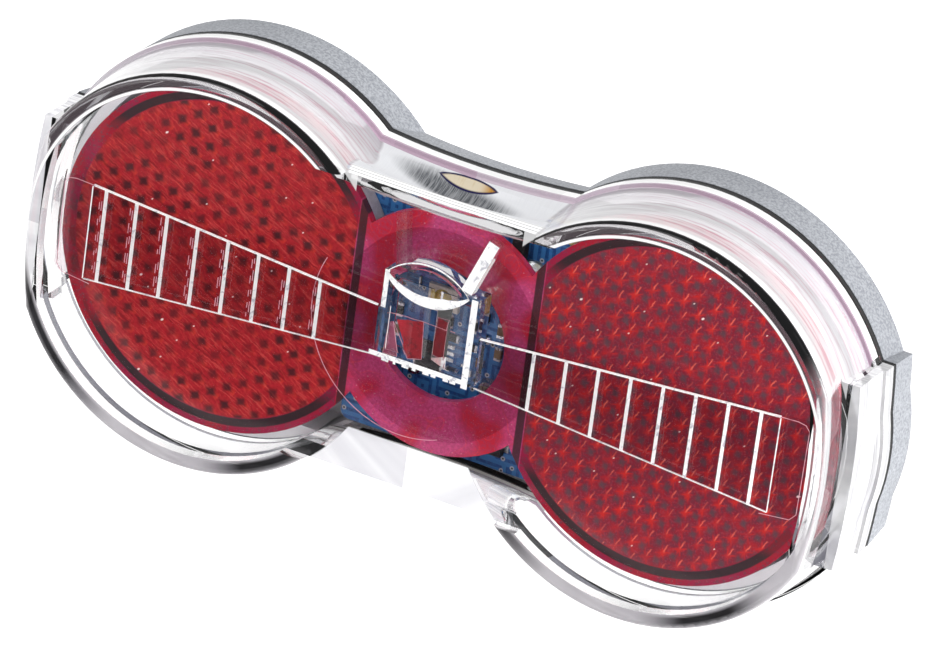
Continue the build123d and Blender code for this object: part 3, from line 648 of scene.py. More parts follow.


# polished clear PMMA: it bends light, and its thick curved waist carries a painted reflection of the pale
# studio
def clearCover(values):
    material, tree = newMaterial("polishedClearPmma")
    place = flatMillimetres(tree)
    x, z, y = addNode(tree, "SeparateXYZ", place).node.outputs
    width = addNode(tree, "Math", x, operation="ABSOLUTE")
    height = addNode(tree, "Math", z, operation="ABSOLUTE")
    side = addNode(tree, "Math", x, operation="SIGN")
    centre = addNode(tree, "Math", side, values["lobeCentre"], operation="MULTIPLY")
    across = addNode(tree, "Math", x, centre, operation="SUBTRACT")
    fromLobe = planeLength(tree, across, z)
    turn = addNode(tree, "Math", z, across, operation="ARCTAN2")
    angle = addNode(tree, "Math", turn, 180 / math.pi, operation="MULTIPLY")
    depth = addNode(tree, "Math", y, values["frontY"], operation="SUBTRACT")
    draft = addNode(tree, "Math", depth, values["lobeSlope"], values["lobeFront"], operation="MULTIPLY_ADD")
    beyond = addNode(tree, "Math", fromLobe, draft, operation="SUBTRACT")
    inward = addNode(tree, "NewGeometry", output="Backfacing")
    outward = addNode(tree, "Math", 1.0, inward, operation="SUBTRACT")
    rimStart = values["rimY"] - 0.2

    # painted light: the lobes' side walls are pale, streaked along their length, with pink and a white
    # highlight
    streakPlace = addNode(tree, "CombineXYZ", share(tree, angle, values["streakTurn"]), y)
    settings = {"Vector": streakPlace, "Scale": 1 / values["streakSize"], "Detail": 4, "Roughness": 0.55}
    streak = addNode(tree, "TexNoise", settings)
    behind = share(tree, (y, rimStart, values["rimY"] + 0.1))
    mauve = largest(tree, (angle, 150, 90), share(tree, (width, 18.5, 15.5), 0.6))
    # painted reflections on the band by the rim: pale and mauve, with a white highlight line and a thin
    # black line
    rimColour = layered(
        tree,
        values["rim"],
        (values["rimMauve"], mauve),
        (values["edge"], (y, values["rimWhiteY"], values["rimWhiteY"] + 0.15)),
        (values["rimBlack"], (y, values["rimBlackY"], values["rimBlackY"] + 0.07)),
    )
    wallColour = layered(
        tree,
        values["wall"],
        (values["wallFront"], (y, values["rimY"], -16.0)),
        (values["wallStreak"], (streak, 0.4, 0.7, 0, 0.5)),
        (values["wallPink"], (streak, 0.5, 0.68), (angle, 120, 80), (angle, 10, 40), 0.55),
        (values["edge"], (y, -17.6, -18.9)),
        (rimColour, behind),
    )
    onWall = share(
        tree,
        (beyond, -0.25, -0.1),
        outward,
        (y, ">", values["lipBack"]),
        (width, ">", values["wallFromX"]),
        (width, "<", values["wallToX"]),
        (z, -9.0, 3.0),
        (behind, 0.0, 1.0, values["wallPaintedLight"], 0.85),
    )

    # the end blocks and the land across the waist are painted pale too, with a painted dark reflection line
    # round the left end
    endLip = share(
        tree,
        (y, "<", values["endLipBack"]),
        (width, ">", values["endLipX"]),
        (x, 0, -1, 0.35, 0.9),
    )
    atEnd = largest(tree, (width, ">", values["endX"]), endLip)
    endColour = layered(
        tree,
        values["end"],
        (values["endStreak"], (streak, 0.4, 0.6)),
        (values["endLine"], band(tree, width, values["endLineX"], 0.22), (x, 0, -1)),
    )
    onEnd = share(tree, atEnd, outward, (x, 0, -1, values["endPaintedLight"], 0.85))
    onLand = share(
        tree,
        (y, "<", values["landBackY"]),
        (width, "<", values["landHalf"]),
        (height, values["landZ"], values["landZ"] + 0.25),
        (beyond, 0.0, 0.2),
        outward,
        (z, "<", 0.0),
        0.9,
    )
    lowWaist = share(
        tree,
        (z, "<", values["lowWaistZ"]),
        (width, "<", values["lowWaistHalf"]),
        (y, ">", values["lowWaistFrontY"]),
        (beyond, 0.0, 0.2),
        0.85,
    )

    # across the lip: 0 at the wall, 1 where its rounding ends, 2 at its inner edge
    lipRound = values["lipRound"]
    rounding = addNode(
        tree, "Math", y, -1 / lipRound, (values["frontY"] + lipRound) / lipRound, operation="MULTIPLY_ADD"
    )
    inner = addNode(tree, "Math", values["lobeFront"] - lipRound, fromLobe, operation="SUBTRACT")
    rounding = addNode(tree, "Clamp", rounding)
    lip = addNode(tree, "Math", rounding, largest(tree, inner, 0.0), operation="ADD")
    # painted reflections: black crescents on the upper lip, dark patches low down, white highlight lines,
    # pale grey below
    taper = share(tree, *[(angle, *turns) for turns in values["lipTaper"]])
    reach = addNode(tree, "MapRange", angle, *values["darkReach"])
    within = addNode(tree, "Math", reach, lip, operation="SUBTRACT")
    dark = share(tree, (lip, 0.0, 0.12), (within, 0.0, 0.15), taper)
    upperDark = largest(tree, dark, share(tree, band(tree, lip, *values["thinDark"]), taper))
    lowDark = largest(tree, *[band(tree, angle, *turns) for turns in values["lowDarkTurns"]])
    lowDark = share(tree, lowDark, band(tree, lip, *values["lowDark"]), 0.97)
    whiteLine = share(tree, band(tree, lip, *values["whiteLine"]), (angle, *values["whiteTurn"]))
    lipGrey = layered(tree, values["lipDark"], (values["lipPale"], streak))
    lipColour = layered(
        tree,
        values["lipUpper"],
        (lipGrey, (z, 0, -4)),
        (values["edge"], band(tree, lip, *values["whiteEdge"])),
        (values["lipBlack"], largest(tree, upperDark, lowDark)),
        (values["edge"], whiteLine),
    )
    lipInner = values["lobeFront"] - values["lipWidth"]
    onLip = share(tree, (y, "<", values["lipBack"]), (fromLobe, ">", lipInner), outward)
    onLip = share(tree, onLip, largest(tree, (z, *values["lipLower"]), upperDark, whiteLine, lowDark))

    # painted reflection on the spoon: fine scratches run across it, and a grey band of it lies along its
    # front slope
    brushPlace = addNode(tree, "Mapping", {"Vector": place, "Scale": (7.5, 0.5, 0.5)})
    settings = {"Vector": brushPlace, "Scale": 1.0, "Detail": 3, "Roughness": 0.6}
    brush = addNode(tree, "TexNoise", settings)
    middle = addNode(tree, "Math", x, values["shadeSlope"], values["shadeY"], operation="MULTIPLY_ADD")
    along = addNode(tree, "Math", x, -values["shadeX"], operation="ADD")
    along = addNode(tree, "Math", along, values["shadeLength"], operation="DIVIDE")
    down = addNode(tree, "Math", y, middle, operation="SUBTRACT")
    down = addNode(tree, "Math", down, values["shadeWidth"], operation="DIVIDE")
    shade = share(tree, (planeLength(tree, along, down), 1.1, 0.5))

    # a painted lens-shaped glint with a dark blue rim and a golden tip
    glintX = addNode(tree, "Math", x, -values["glint"][0], operation="ADD")
    glintY = addNode(tree, "Math", y, -values["glint"][1], operation="ADD")
    glintEdge = almond(tree, glintX, glintY, *values["glintOuter"])
    glint = layered(
        tree,
        values["highlight"],
        (values["gold"], (glintX, 1.2, 3.0)),
        (values["goldStreak"], (brush, 0.55, 0.7, 0, 0.5)),
    )

    # painted highlight: the land in front of the spoon is painted white, with thin painted dark reflection
    # lines along it
    wave = addNode(tree, "Math", brush, 0.05, y, operation="MULTIPLY_ADD")
    wave = addNode(tree, "Math", wave, 0.22, operation="PINGPONG")
    lined = share(tree, (y, values["landY"] + 0.1, values["landY"] - 0.1))
    spoonReflection = layered(
        tree,
        values["spoonReflection"],
        (values["spoonReflectionStreak"], (brush, 0.3, 0.7, 0, 0.12)),
        (values["grey"], shade, (brush, 0.35, 0.65, 0.7, 1.0)),
        (values["deepBlue"], glintEdge),
        (glint, almond(tree, glintX, glintY, *values["glintInner"])),
        (values["edge"], lined),
        (values["landLine"], lined, (wave, 0.045, 0.015, 0, 0.75)),
    )

    # below, the waist is painted plain pale with faint grey bands: a painted reflection of the pale studio
    onRimBand = share(
        tree, (width, "<", values["bandHalf"]), (y, ">", rimStart), outward, (height, ">", values["bandZ"])
    )
    waistColour = layered(
        tree,
        values["lower"],
        (values["lowerBand"], (brush, 0.42, 0.6)),
        (spoonReflection, (z, ">", 0.0)),
        (rimColour, onRimBand),
    )
    onWaist = share(
        tree,
        (beyond, 0.1, 0.35),
        (y, "<", rimStart),
        outward,
        (height, ">", values["waistZ"]),
        (y, ">", values["waistFrontY"]),
    )

    # each painted zone lies over the clear plastic: its share, colour, roughness and painted glow
    dull = addNode(tree, "MapRange", glintEdge, 0.0, 1.0, 0.14, 0.7)
    body = addNode(tree, "BsdfPrincipled", clearPlastic["look"])
    for shown, colour, roughness, glow in (
        (onWall, wallColour, 0.15, 0.1),
        (largest(tree, onEnd, onLand, lowWaist), endColour, 0.1, 0.3),
        (onLip, lipColour, 0.06, 0.1),
        (largest(tree, onWaist, share(tree, onRimBand, 0.9)), waistColour, dull, 0.1),
    ):
        look = {"Base Color": colour, "Roughness": roughness, "Specular IOR Level": 0.15}
        look.update({"Emission Color": colour, "Emission Strength": glow})
        body = addNode(tree, "MixShader", shown, body, addNode(tree, "BsdfPrincipled", look))
    return finishClear(material, tree, body, clearPlastic)


dress(clearCover(cover), "clear_cover")
print("cover dressed")

# rear housing and seal
housing = {
    "grey": "8A8D94",
    "paleGrey": "B4B7BD",
    "cloud": "777A82",
    "inside": "ECECF0",
    "grain": 0.3,  # mm, as are the next ones
    "cloudSize": 14.0,
    "backY": -2.6,
    "lobeCentre": 26.8,
    "lobeInside": 22.4,
    "waistInside": 15.9,
    "waistHalf": 15.0,
    "bayHalf": 10.5,
    "bayTop": -4.0,
    "bayFront": -6.3,
    "sealMiddle": 23.45,
    "sealGrain": 0.25,
    "seal": "060607",
    "sealDust": "131315",
    "sealInner": "E4E4E8",
}


# grained grey ABS: spark-eroded grain, a pale speckle on grey, and pale where light reaches inside
def grainedAbs(values):
    material, tree = newMaterial("grainedGreyAbs")
    place = flatMillimetres(tree)
    x, z, y = addNode(tree, "SeparateXYZ", place).node.outputs
    width = addNode(tree, "Math", x, operation="ABSOLUTE")
    height = addNode(tree, "Math", z, operation="ABSOLUTE")
    settings = {"Vector": place, "Scale": 1 / values["grain"], "Detail": 3, "Roughness": 0.65}
    grain = addNode(tree, "TexNoise", settings)
    cloud = addNode(tree, "TexNoise", {"Vector": place, "Scale": 1 / values["cloudSize"], "Detail": 1})
    across = addNode(tree, "Math", width, values["lobeCentre"], operation="SUBTRACT")
    inLobe = share(tree, (planeLength(tree, across, z), "<", values["lobeInside"]))
    inWaist = share(tree, (height, "<", values["waistInside"]), (width, "<", values["waistHalf"]))
    bay = ((width, "<", values["bayHalf"]), (z, "<", values["bayTop"]), (y, ">", values["bayFront"]))
    outOfBay = addNode(tree, "Math", 1.0, share(tree, *bay), operation="SUBTRACT")
    tone = layered(
        tree,
        values["grey"],
        (values["paleGrey"], (grain, 0.35, 0.65)),
        (values["cloud"], (cloud, 0.3, 0.7, 0, 0.3)),
        (values["inside"], largest(tree, inLobe, inWaist), (y, "<", values["backY"]), outOfBay),
    )
    relief = {"Height": grain, "Strength": 0.5, "Distance": 0.00005}
    look = {"Base Color": tone, "Roughness": 0.55, "Normal": addNode(tree, "Bump", relief)}
    return finishMaterial(material, addNode(tree, "BsdfPrincipled", look))


# soft black elastomer, matt and a little dusty, whose inner edge is pale with light from the cover's wall
def blackSeal(values):
    material, tree = newMaterial("mouldedBlackTpe")
    place = flatMillimetres(tree)
    x, z, _ = addNode(tree, "SeparateXYZ", place).node.outputs
    settings = {"Vector": place, "Scale": 1 / values["sealGrain"], "Detail": 4, "Roughness": 0.6}
    grain = addNode(tree, "TexNoise", settings)
    width = addNode(tree, "Math", x, operation="ABSOLUTE")
    across = addNode(tree, "Math", width, values["lobeCentre"], operation="SUBTRACT")
    inner = (planeLength(tree, across, z), values["sealMiddle"] + 0.1, values["sealMiddle"] - 0.1)
    tone = layered(
        tree,
        values["seal"],
        (values["sealDust"], (grain, 0.35, 0.65)),
        (values["sealInner"], inner, (z, -2.0, -6.0)),
    )
    relief = {"Height": grain, "Strength": 0.3, "Distance": 0.00002}
    rough = share(tree, (grain, 0.3, 0.7, 0.6, 0.85))
    look = {"Base Color": tone, "Roughness": rough, "Normal": addNode(tree, "Bump", relief)}
    return finishMaterial(material, addNode(tree, "BsdfPrincipled", look))


dress(grainedAbs(housing), "rear_housing")
dress(blackSeal(housing), "housing_seal")
print("housing and seal dressed")

# light guide and its facets of painted light
guide = {
    "frontY": -17.0,  # mm, as are the others
    "hubHalf": 6.05,  # the hub bends light within these limits
    "hubTop": 6.9,
    "hubBack": -14.65,
    "armBottom": 7.3,
    "armRight": -2.9,
    "firstRung": 12.95,
    "rungPitch": 3.8071,
    "rungCount": 8,
    "rungOver": 0.05,
    "rungProud": 0.07,
    "grooveHalf": 0.5,
    "grooveDepth": 0.6,
    "litShare": 0.52,  # of each groove's flank
    "rootX": 4.7,
    "rootHalf": 2.7,
    "slope": 3.1 / 40.8,
    "drop": 0.3,
    "edgeFrom": 6.2,
    "edgeTo": 41.5,
    "edgeWidth": 0.13,
    "edgeGap": 0.04,
    "edgeDepth": (0, 0.3, 0),
    "lowEdge": 0.35,  # share of the edge's width
    "dashShifts": (-0.72, -0.98),
    "dashWidth": 0.07,
    "dashes": (0.35, 0.9, 1.7, 0.31, 0.9),  # least length, what the sine adds to it, and its phases
    "lineRadius": 12.2,
    "lineCentre": (-2.8, -0.3),
    "lineWidth": 0.07,
    "lineFrom": 155,  # degrees, as is the next
    "lineTo": 292,
    "flangeY": -14.7,
    "tipLine": (
        (40.8, 5.3), (43.6, 5.45), (44.5, 5.3), (45.0, 4.7), (44.9, -5.0), (44.2, -5.8), (40.7, -6.2)
    ),
    "tipWidth": 0.06,
    "facetDepth": (0, 0.03, 0),
    "film": "F6F2F4",
    # each facet of painted light: its material, colour, shadow and glow
    "facets": {
        "white": ("paintedHighlightPmmaFacet", "FFFFFF", "C0C0C8", 0.15),
        "pink": ("paintedRoseHighlightPmmaFacet", "DFA6B4", "C57F92", 0.1),
        "red": ("paintedRedReflectionPmmaFacet", "B01A2C", "7E1626", 0.05),
        "rose": ("paintedRoseReflectionPmmaFacet", "9A4A66", "B98A9E", 0.05),
    },
}


# clear moulded PMMA of the light guide: its hub bends light, its thin wings and flange hardly show
def clearGuide(values):
    material, tree = newMaterial("mouldedClearPmma")
    x, z, y = addNode(tree, "SeparateXYZ", flatMillimetres(tree)).node.outputs
    width = addNode(tree, "Math", x, operation="ABSOLUTE")
    glass = addNode(tree, "BsdfPrincipled", clearPlastic["look"])
    through = addNode(tree, "BsdfTransparent", toLinear(values["film"]))
    gloss = addNode(tree, "BsdfGlossy", {"Color": white, "Roughness": 0.02})
    film = addNode(tree, "MixShader", 0.03, through, gloss)
    onWing = share(tree, (width, ">", values["hubHalf"]), (z, "<", values["hubTop"]))
    onArm = share(tree, (z, ">", values["armBottom"]), (x, "<", values["armRight"]))
    thin = largest(tree, onWing, (y, ">", values["hubBack"]), onArm)
    return finishClear(material, tree, addNode(tree, "MixShader", thin, glass, film), clearPlastic)


# painted light on polished flanks and edges of PMMA: pale, with fine drawn streaks and a soft painted glow
def litFacet(name, colour, shadow, glow):
    material, tree = newMaterial(name)
    settings = {"Scale": 1 / 0.9, "Detail": 4, "Roughness": 0.65, "Distortion": 0.8}
    streak = addNode(tree, "TexNoise", {"Vector": flatMillimetres(tree), **settings})
    tone = layered(tree, colour, (shadow, (streak, 0.52, 0.68)))
    relief = {"Height": streak, "Strength": 0.3, "Distance": 0.00003}
    rough = share(tree, (streak, 0.3, 0.7, 0.3, 0.5))
    look = {"Base Color": tone, "Roughness": rough, "Normal": addNode(tree, "Bump", relief)}
    look.update({"Emission Color": tone, "Emission Strength": glow})
    return finishMaterial(material, addNode(tree, "BsdfPrincipled", look))


facetMaterials = {word: litFacet(*values) for word, values in guide["facets"].items()}


def addFacets(name, fronts, depths=guide["facetDepth"], finish="white"):
    piece = blocksObject(name, fronts, depths)
    piece.data.materials.append(facetMaterials[finish])
    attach(piece, "root")


# flat four-sided outlines of x and z, set at one depth
def atDepth(outlines, y):
    return np.insert(np.asarray(outlines, float), 1, y, axis=2)


# a strip between two rows of x and z: one outline for each step along them
def strip(rowA, rowB):
    return np.stack([rowA[:-1], rowA[1:], rowB[1:], rowB[:-1]], axis=1)


# upright rectangles, each from its left, right, bottom and top
def rectangles(limits):
    left, right, low, high = np.asarray(limits, float).T
    corners = ((left, low), (right, low), (right, high), (left, high))
    return np.stack([np.stack(corner, axis=-1) for corner in corners], axis=1)


# a thin line through points of x and z: each step is half a width to either side of the way
def thinLine(points, width):
    points = np.array(points, float)
    steps = np.diff(points, axis=0)
    steps /= np.hypot(steps[:, 0], steps[:, 1])[:, None]
    offset = np.stack([-steps[:, 1], steps[:, 0]], axis=1) * width / 2
    start, end = points[:-1], points[1:]
    return np.stack([start - offset, end - offset, end + offset, start + offset], axis=1)


# half a wing's height grows evenly with the distance from its root
def wingHalf(values, x):
    return values["rootHalf"] + values["slope"] * (np.abs(x) - values["rootX"])


# painted highlight on each rung's left flank's front part: from the groove's edge, a share of the way to
# its floor
def rungFacets(name, side, values):
    x = side * (values["firstRung"] + values["rungPitch"] * np.arange(values["rungCount"]))
    half = wingHalf(values, x)
    flank = np.array([values["grooveHalf"], values["grooveDepth"]])
    normal = np.array([flank[1], -flank[0]]) / np.hypot(*flank)
    start = np.array([-values["grooveHalf"], values["frontY"]]) + values["rungProud"] * normal
    end = start + values["litShare"] * flank
    low, high = -values["drop"] - half - values["rungOver"], -values["drop"] + half + values["rungOver"]
    corners = ((start, low), (end, low), (end, high), (start, high))
    fronts = [np.stack([x + at[0], np.full_like(x, at[1]), z], axis=-1) for at, z in corners]
    addFacets(name, np.stack(fronts, axis=1), -0.05 * np.array([*normal, 0]))


# thin painted highlight lines along the wing's upper and lower edges, and across its end
def edgeFacets(name, side, values):
    near, far, gap = side * values["edgeFrom"], side * values["edgeTo"], values["edgeGap"]
    width, drop = values["edgeWidth"], values["drop"]
    outlines = []
    for up, wide in ((-1, values["lowEdge"] * width), (1, width)):
        (x0, z0), (x1, z1) = [(x, up * wingHalf(values, x) - drop) for x in (near, far)]
        inner, outer = up * gap, up * (gap + wide)
        outlines.append([(x0, z0 + inner), (x1, z1 + inner), (x1, z1 + outer), (x0, z0 + outer)])
    half, tip = wingHalf(values, far), far + side * width
    outlines.append([(far, -half - drop), (tip, -half - drop), (tip, half - drop), (far, half - drop)])
    depths = [values["edgeDepth"], values["edgeDepth"], values["facetDepth"]]
    addFacets(name, atDepth(outlines, values["frontY"] - 0.05), depths)


# broken pale lines beside the left wing's rungs, where their other flanks catch some light: the lengths of
# dashes and gaps follow a sine of their number, and those beyond the wing's edge are left out
def dashFacets(values):
    rung = np.arange(values["rungCount"])[:, None, None]
    line = np.arange(2)[None, :, None]
    x = -(values["firstRung"] + values["rungPitch"] * rung)
    half = wingHalf(values, x)
    least, most, phase, rungPhase, linePhase = values["dashes"]
    phases = phase + rungPhase * rung + linePhase * line
    lengths = least + most * np.abs(np.sin(np.arange(1, 17) * phases))
    ends = np.cumsum(lengths, axis=2) - half - values["drop"]
    low, high = ends[..., 0::2], ends[..., 1::2]
    left = np.broadcast_to(x + np.array(values["dashShifts"])[None, :, None], low.shape)
    kept = high < half - values["drop"]
    limits = [left[kept], left[kept] + values["dashWidth"], low[kept], high[kept]]
    dashes = rectangles(np.stack(limits, axis=1))
    addFacets("left_wing_dashes", atDepth(dashes, values["frontY"] - 0.06), finish="pink")


# a thin painted highlight circle along the flange's rim, from its upper left round to its lower right
def flangeLine(values):
    angles = np.radians(np.linspace(values["lineFrom"], values["lineTo"], 61))
    way = np.stack([np.cos(angles), np.sin(angles)], axis=1)
    radii = (values["lineRadius"], values["lineRadius"] + values["lineWidth"])
    rows = [np.array(values["lineCentre"]) + radius * way for radius in radii]
    addFacets("flange_highlight_line", atDepth(strip(*rows), values["flangeY"]), finish="pink")


# the wing's outer end plate shows only as a thin painted highlight line round its edges
def wingTipLine(name, side, values):
    points = np.array(values["tipLine"]) * (side, 1)
    line = thinLine(points, values["tipWidth"])
    addFacets(name, atDepth(line, values["frontY"] - 0.05), finish="pink")


dress(clearGuide(guide), "light_guide")
for word, side in sides:
    rungFacets(word + "_rung_highlights", side, guide)
    edgeFacets(word + "_wing_edge_highlights", side, guide)

hub = {
    "frontY": -17.05,  # mm, as are the others
    "wall": 1.1,
    "halfWidth": 5.8,
    "bottomZ": -3.2,
    "topZ": 7.0,
    "leftPost": 0.55,
    "leftPostFoot": 2.6,
    "rightPost": 0.75,
    "floorWidth": 0.55,
    "floorOver": 0.7,
    "dashFrom": -5.6,
    "dashGaps": (0.28, 0.02),  # below the floor bar
    "dashes": (0.12, 0.75, 2.3),  # least length, what the sine adds to it, and its phase per dash
    "eyeX": -0.7,
    "eyeZ": 6.6,
    "eyeLength": 5.1,
    "eyeHeight": 2.45,
    "eyeBands": ((-1, 1.25), (1, 0.2)),  # below and above, with the band's greatest width
    "eyeShape": ((-1, -0.5, 0.1, 0.45, 0.75, 1), (0.3, 0.75, 1.0, 0.95, 0.5, 0.2)),
    "armFootX": 3.9,
    "armFootZ": 7.4,
    "armLean": 17.0,  # degrees
    "armLength": 5.8,
    "armWidth": 1.3,
    "armDrop": 1.7,
    "wedgeBack": 0.6,
    "redWedge": ((-2.05, -2.45), (-0.45, -2.0), (-0.75, 2.3), (-4.0, 1.4)),
    "roseWedge": ((-5.0, -2.75), (-3.3, -2.65), (-4.35, 1.1), (-4.75, 0.9)),
    "wedgeEdges": (
        (-4.75, 0.9), (-5.0, -2.75), (-3.3, -2.65), (-4.35, 1.1), (-2.05, -2.5), (-0.4, -2.05), (-0.7, 2.35)
    ),
    "edgeWidth": 0.07,
    "thread": ((-5.06, 1.97), (-1.0, 2.3), (3.04, 2.16)),
    "threadWidth": 0.06,
}


# painted highlights on the hub box's end faces, seen from the front: two upright posts, the floor bar and
# dashes below it, whose lengths and gaps follow a sine of their number
def hubFacets(values):
    wide, bottom, top = values["halfWidth"], values["bottomZ"], values["topZ"]
    inner = wide - values["wall"]
    limits = [
        (-wide, -wide + values["leftPost"], values["leftPostFoot"], top),
        (inner, inner + values["rightPost"], bottom - 0.4, top - 0.2),
        (-wide - values["floorOver"], inner, bottom, bottom + values["floorWidth"]),
    ]
    least, most, phase = values["dashes"]
    cuts = values["dashFrom"] + np.cumsum(least + most * np.abs(np.sin(phase * np.arange(1, 25))))
    left, right = cuts.reshape(-1, 2)[cuts[1::2] < inner].T
    low, high = [np.full_like(left, bottom - gap) for gap in values["dashGaps"]]
    limits = np.concatenate([limits, np.stack([left, right, low, high], axis=1)])
    addFacets("hub_post_highlights", atDepth(rectangles(limits), values["frontY"]))


# painted highlights: the pointed oval lens shows a broad bright band along its lower wall and a thin one
# above: each lies between two arcs, and its width swells in the middle
def lensFacets(values):
    length, height = values["eyeLength"], values["eyeHeight"]
    radius = (length**2 + height**2) / (2 * height)
    reach = math.asin(length / radius)
    angles = np.linspace(-reach, reach, 33)
    outlines = []
    for up, width in values["eyeBands"]:
        widths = width * np.interp(angles / reach, *values["eyeShape"])
        rows = []
        for r in (radius, radius - widths):
            x = values["eyeX"] + r * np.sin(angles)
            z = values["eyeZ"] + up * (r * np.cos(angles) - radius + height)
            rows.append(np.stack([x, z], axis=1))
        outlines.append(strip(*rows))
    addFacets("lens_edge_highlights", atDepth(np.concatenate(outlines), values["frontY"]))


# a painted highlight on the front face of the right arm, which leans outward and falls back towards its tip
def armFacet(values):
    lean = math.radians(values["armLean"])
    along = np.array([math.sin(lean), 0, math.cos(lean)])
    across = np.array([math.cos(lean), 0, -math.sin(lean)]) * values["armWidth"] / 2
    foot = np.array([values["armFootX"], values["frontY"], values["armFootZ"]])
    tip = foot + along * values["armLength"] + np.array([0, values["armDrop"], 0])
    addFacets("right_arm_highlight", [[foot - across, foot + across, tip + across, tip - across]])


# inside the hub, painted reflections of the red discs in slanting walls: red and rose wedges between thin
# painted highlights
def hubWedges(values):
    y = values["frontY"] + values["wedgeBack"]
    addFacets("hub_red_reflection", atDepth([values["redWedge"]], y), finish="red")
    addFacets("hub_rose_reflection", atDepth([values["roseWedge"]], y), finish="rose")
    edges = thinLine(values["wedgeEdges"], values["edgeWidth"])
    addFacets("hub_reflection_edge_highlights", atDepth(edges, y - 0.05), finish="pink")
    thread = thinLine(values["thread"], values["threadWidth"])
    addFacets("hub_thread_highlight", atDepth(thread, y - 0.1), finish="pink")


hubFacets(hub)
lensFacets(hub)
armFacet(hub)
dashFacets(guide)
flangeLine(guide)
hubWedges(hub)
for word, side in sides:
    wingTipLine(word + "_tip_highlight_lines", side, guide)
print("guide dressed and its facets placed")

board = {
    "resist": "2A62A6",
    "track": "4384C6",
    "gap": "1E4C88",
    "via": "C9CCD0",
    "hole": "0C1420",
    "laminate": "B9A76A",
    "viaShare": 0.25,  # of the pattern's cells
    "cellSize": 1 / 0.22,  # mm, as are the next ones
    "trackPitch": 0.9,
    "resistGrain": 0.3,
    "viaSpacing": 1.5,
    "viaSizes": (0.34, 0.16),  # the ring and the hole in it
    "frontY": -9.6,
    "backY": -8.0,
}


# blue solder resist over copper: tracks are nested bars in square cells, vias are dots in rings
def solderResist(values):
    material, tree = newMaterial("blueSolderResist")
    place = flatMillimetres(tree)
    y = addNode(tree, "SeparateXYZ", place, output=2)
    cells = {"Vector": place, "Scale": 1 / values["cellSize"], "Randomness": 0.8}
    square = addNode(tree, "TexVoronoi", cells, voronoi_dimensions="2D", distance="CHEBYCHEV")
    half = values["trackPitch"] / values["cellSize"] / 2
    track = share(tree, (addNode(tree, "Math", square, half, operation="PINGPONG"), 0.035, 0.05))
    resist = addNode(tree, "TexNoise", {"Vector": place, "Scale": 1 / values["resistGrain"], "Detail": 3})
    ring, hole = [
        sparkles(tree, place, values["viaSpacing"], values["viaShare"], size) for size in values["viaSizes"]
    ]
    colour = layered(
        tree,
        values["resist"],
        (values["gap"], (resist, 0.35, 0.65)),
        (values["track"], track, 0.8),
        (values["via"], ring),
        (values["hole"], hole),
        (values["laminate"], (y, ">", values["frontY"] + 0.04), (y, "<", values["backY"] - 0.04)),
    )
    relief = {"Height": track, "Strength": 0.4, "Distance": 0.00004}
    look = {"Base Color": colour, "Roughness": 0.28, "Coat Weight": 0.3}
    look["Normal"] = addNode(tree, "Bump", relief)
    return finishMaterial(material, addNode(tree, "BsdfPrincipled", look))


dress(solderResist(board), "circuit_board")

# each small part's material: two tones, grain in mm, roughness from and to, and the pieces that have it
smallParts = {
    # pale moulded trays, which send the light back through the red discs
    "paleBackingAbs": {
        "tones": ("C8C0C6", "B7AEB5"), "grain": 0.8, "rough": (0.4, 0.6),
        "pieces": ("reflector_backing_right", "reflector_backing_left"),
    },
    # white reflective polyamide round the lamp chip
    "whitePolyamide": {
        "tones": ("ECE9DF", "DAD6CA"), "grain": 0.4, "rough": (0.35, 0.5),
        "pieces": ("led_package",),
    },
    # clear silicone dome with a yellow glow
    "phosphorSilicone": {
        "tones": ("D9C25A", "C9AE44"), "grain": 0.5, "rough": (0.08, 0.14), "coat": 0.6,
        "pieces": ("led_dome",),
    },
    # matt moulded epoxy with a faint sparkle of its filler
    "mouldedEpoxy": {
        "tones": ("17171A", "2A2A2E"), "grain": 0.12, "rough": (0.5, 0.65),
        "pieces": ("controller_chip", "chip_resistors", "rectifier_diodes"),
    },
    # tin over copper: bright, a little cloudy
    "tinnedCopper": {
        "tones": ("DCDCDE", "C2C3C7"), "grain": 0.3, "rough": (0.2, 0.35), "metallic": 1.0,
        "pieces": ("chip_leads", "resistor_end_caps", "capacitor_end_caps"),
    },
    # tin over steel wire: a little duller
    "tinnedSteelWire": {
        "tones": ("D2D2D4", "B4B5B9"), "grain": 0.4, "rough": (0.22, 0.38), "metallic": 1.0,
        "pieces": ("diode_tabs", "capacitor_legs"),
    },
    # fired barium titanate: tan, fine-grained and matt
    "firedCeramic": {
        "tones": ("8F775A", "7A6347"), "grain": 0.15, "rough": (0.45, 0.6),
        "pieces": ("ceramic_capacitors",),
    },
    # drawn aluminium can: soft streaks along its length
    "drawnAluminium": {
        "tones": ("BFC1C5", "A9ABAF"), "grain": 0.5, "rough": (0.28, 0.42), "metallic": 1.0,
        "relief": 0.2, "stretch": (1, 1, 0.1), "pieces": ("storage_capacitor",),
    },
    # zinc plate, passivated: grey with cool and warm clouds
    "zincPlatedScrewSteel": {
        "tones": ("B6B8BE", "A9A698"), "grain": 0.6, "rough": (0.25, 0.45), "metallic": 1.0,
        "pieces": ("board_screw_right", "board_screw_left"),
    },
    # tin over brass, brushed along the blades
    "tinnedBrass": {
        "tones": ("CBC5AE", "B5AC8C"), "grain": 0.25, "rough": (0.25, 0.42), "metallic": 1.0,
        "stretch": (3, 0.3, 3), "pieces": ("wide_plug_blade", "narrow_plug_blade"),
    },
    # bright solder that set with small ripples
    "brightSolder": {
        "tones": ("C6C8CC", "AEB0B4"), "grain": 0.35, "rough": (0.14, 0.3), "metallic": 1.0,
        "relief": 0.6, "pieces": ("blade_solder_joints",),
    },
}
for name, values in smallParts.items():
    dress(surfaced(name, values), *values["pieces"])
print("board and small parts dressed")

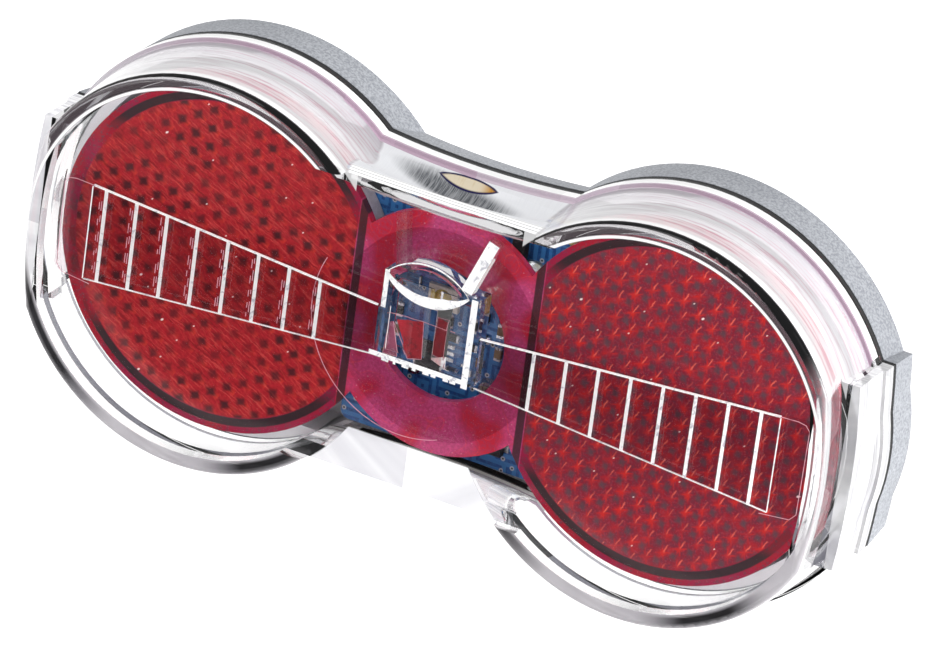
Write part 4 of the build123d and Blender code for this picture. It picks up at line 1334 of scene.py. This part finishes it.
# studs
stud = {
    "x": 40.0,  # mm, as are the others
    "headRows": (-8.0, -7.85, -7.7, -4.5),
    "seat": -4.5,
    "tip": 11.0,
    "acrossFlats": 8.0,
    "crownSlope": 1.732,
    "shoulder": 2.7,
    "radius": 2.5,
    "pitch": 0.8,
    "threadDepth": 0.49,
    "threadStart": 0.9,
    "threadRunIn": 0.6,
    "tipBevel": 0.6,
    "step": 0.08,
    "tones": ("BCBEC4", "B0B0AB"),
    "grain": 0.35,
    "rough": (0.24, 0.4),
    "metallic": 1.0,
}


# a turned M5 stud as rings of points: a hexagon whose corners a cone cuts off, a shoulder, and a thread
# whose depth is a trapezium wave of the way along less the turn, so that it winds once per pitch
def studPoints(values, columns=48):
    turn = np.arange(columns) * 2 * np.pi / columns
    half = values["acrossFlats"] / 2
    flats = half / np.cos((turn + np.pi / 6) % (np.pi / 3) - np.pi / 6)
    head = np.array(values["headRows"])[:, None]
    crown = np.minimum(flats, half + (head - head[0]) * values["crownSlope"])
    shoulder = np.full((2, columns), values["shoulder"])
    y = np.append(np.arange(0.0, values["tip"], values["step"]), values["tip"])[:, None]
    phase = (y / values["pitch"] - turn / (2 * np.pi)) % 1
    cut = values["threadDepth"] * np.clip(1.25 * (1 - 2 * np.abs(phase - 0.5)) - 0.125, 0, 1)
    cut = cut * np.clip((y - values["threadStart"]) / values["threadRunIn"], 0, 1)
    bevel = values["radius"] - values["tipBevel"] + values["tip"] - y
    radii = np.concatenate([crown, shoulder, np.minimum(values["radius"] - cut, bevel)])
    along = np.broadcast_to(np.concatenate([head, [[values["seat"]], [0.0]], y]), radii.shape)
    return np.stack([radii * np.cos(turn), along, radii * np.sin(turn)], axis=-1)


# zinc-plated steel: grey metal, its tone and polish clouded
studMaterial = surfaced("zincPlatedStudSteel", stud)
for word, side in sides:
    piece = tubeObject(word + "_threaded_stud", studPoints(stud) + np.array([side * stud["x"], 0, 0]))
    piece.data.materials.append(studMaterial)
    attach(piece, "root")
    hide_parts("stud_bolt_" + word)
print("studs threaded")
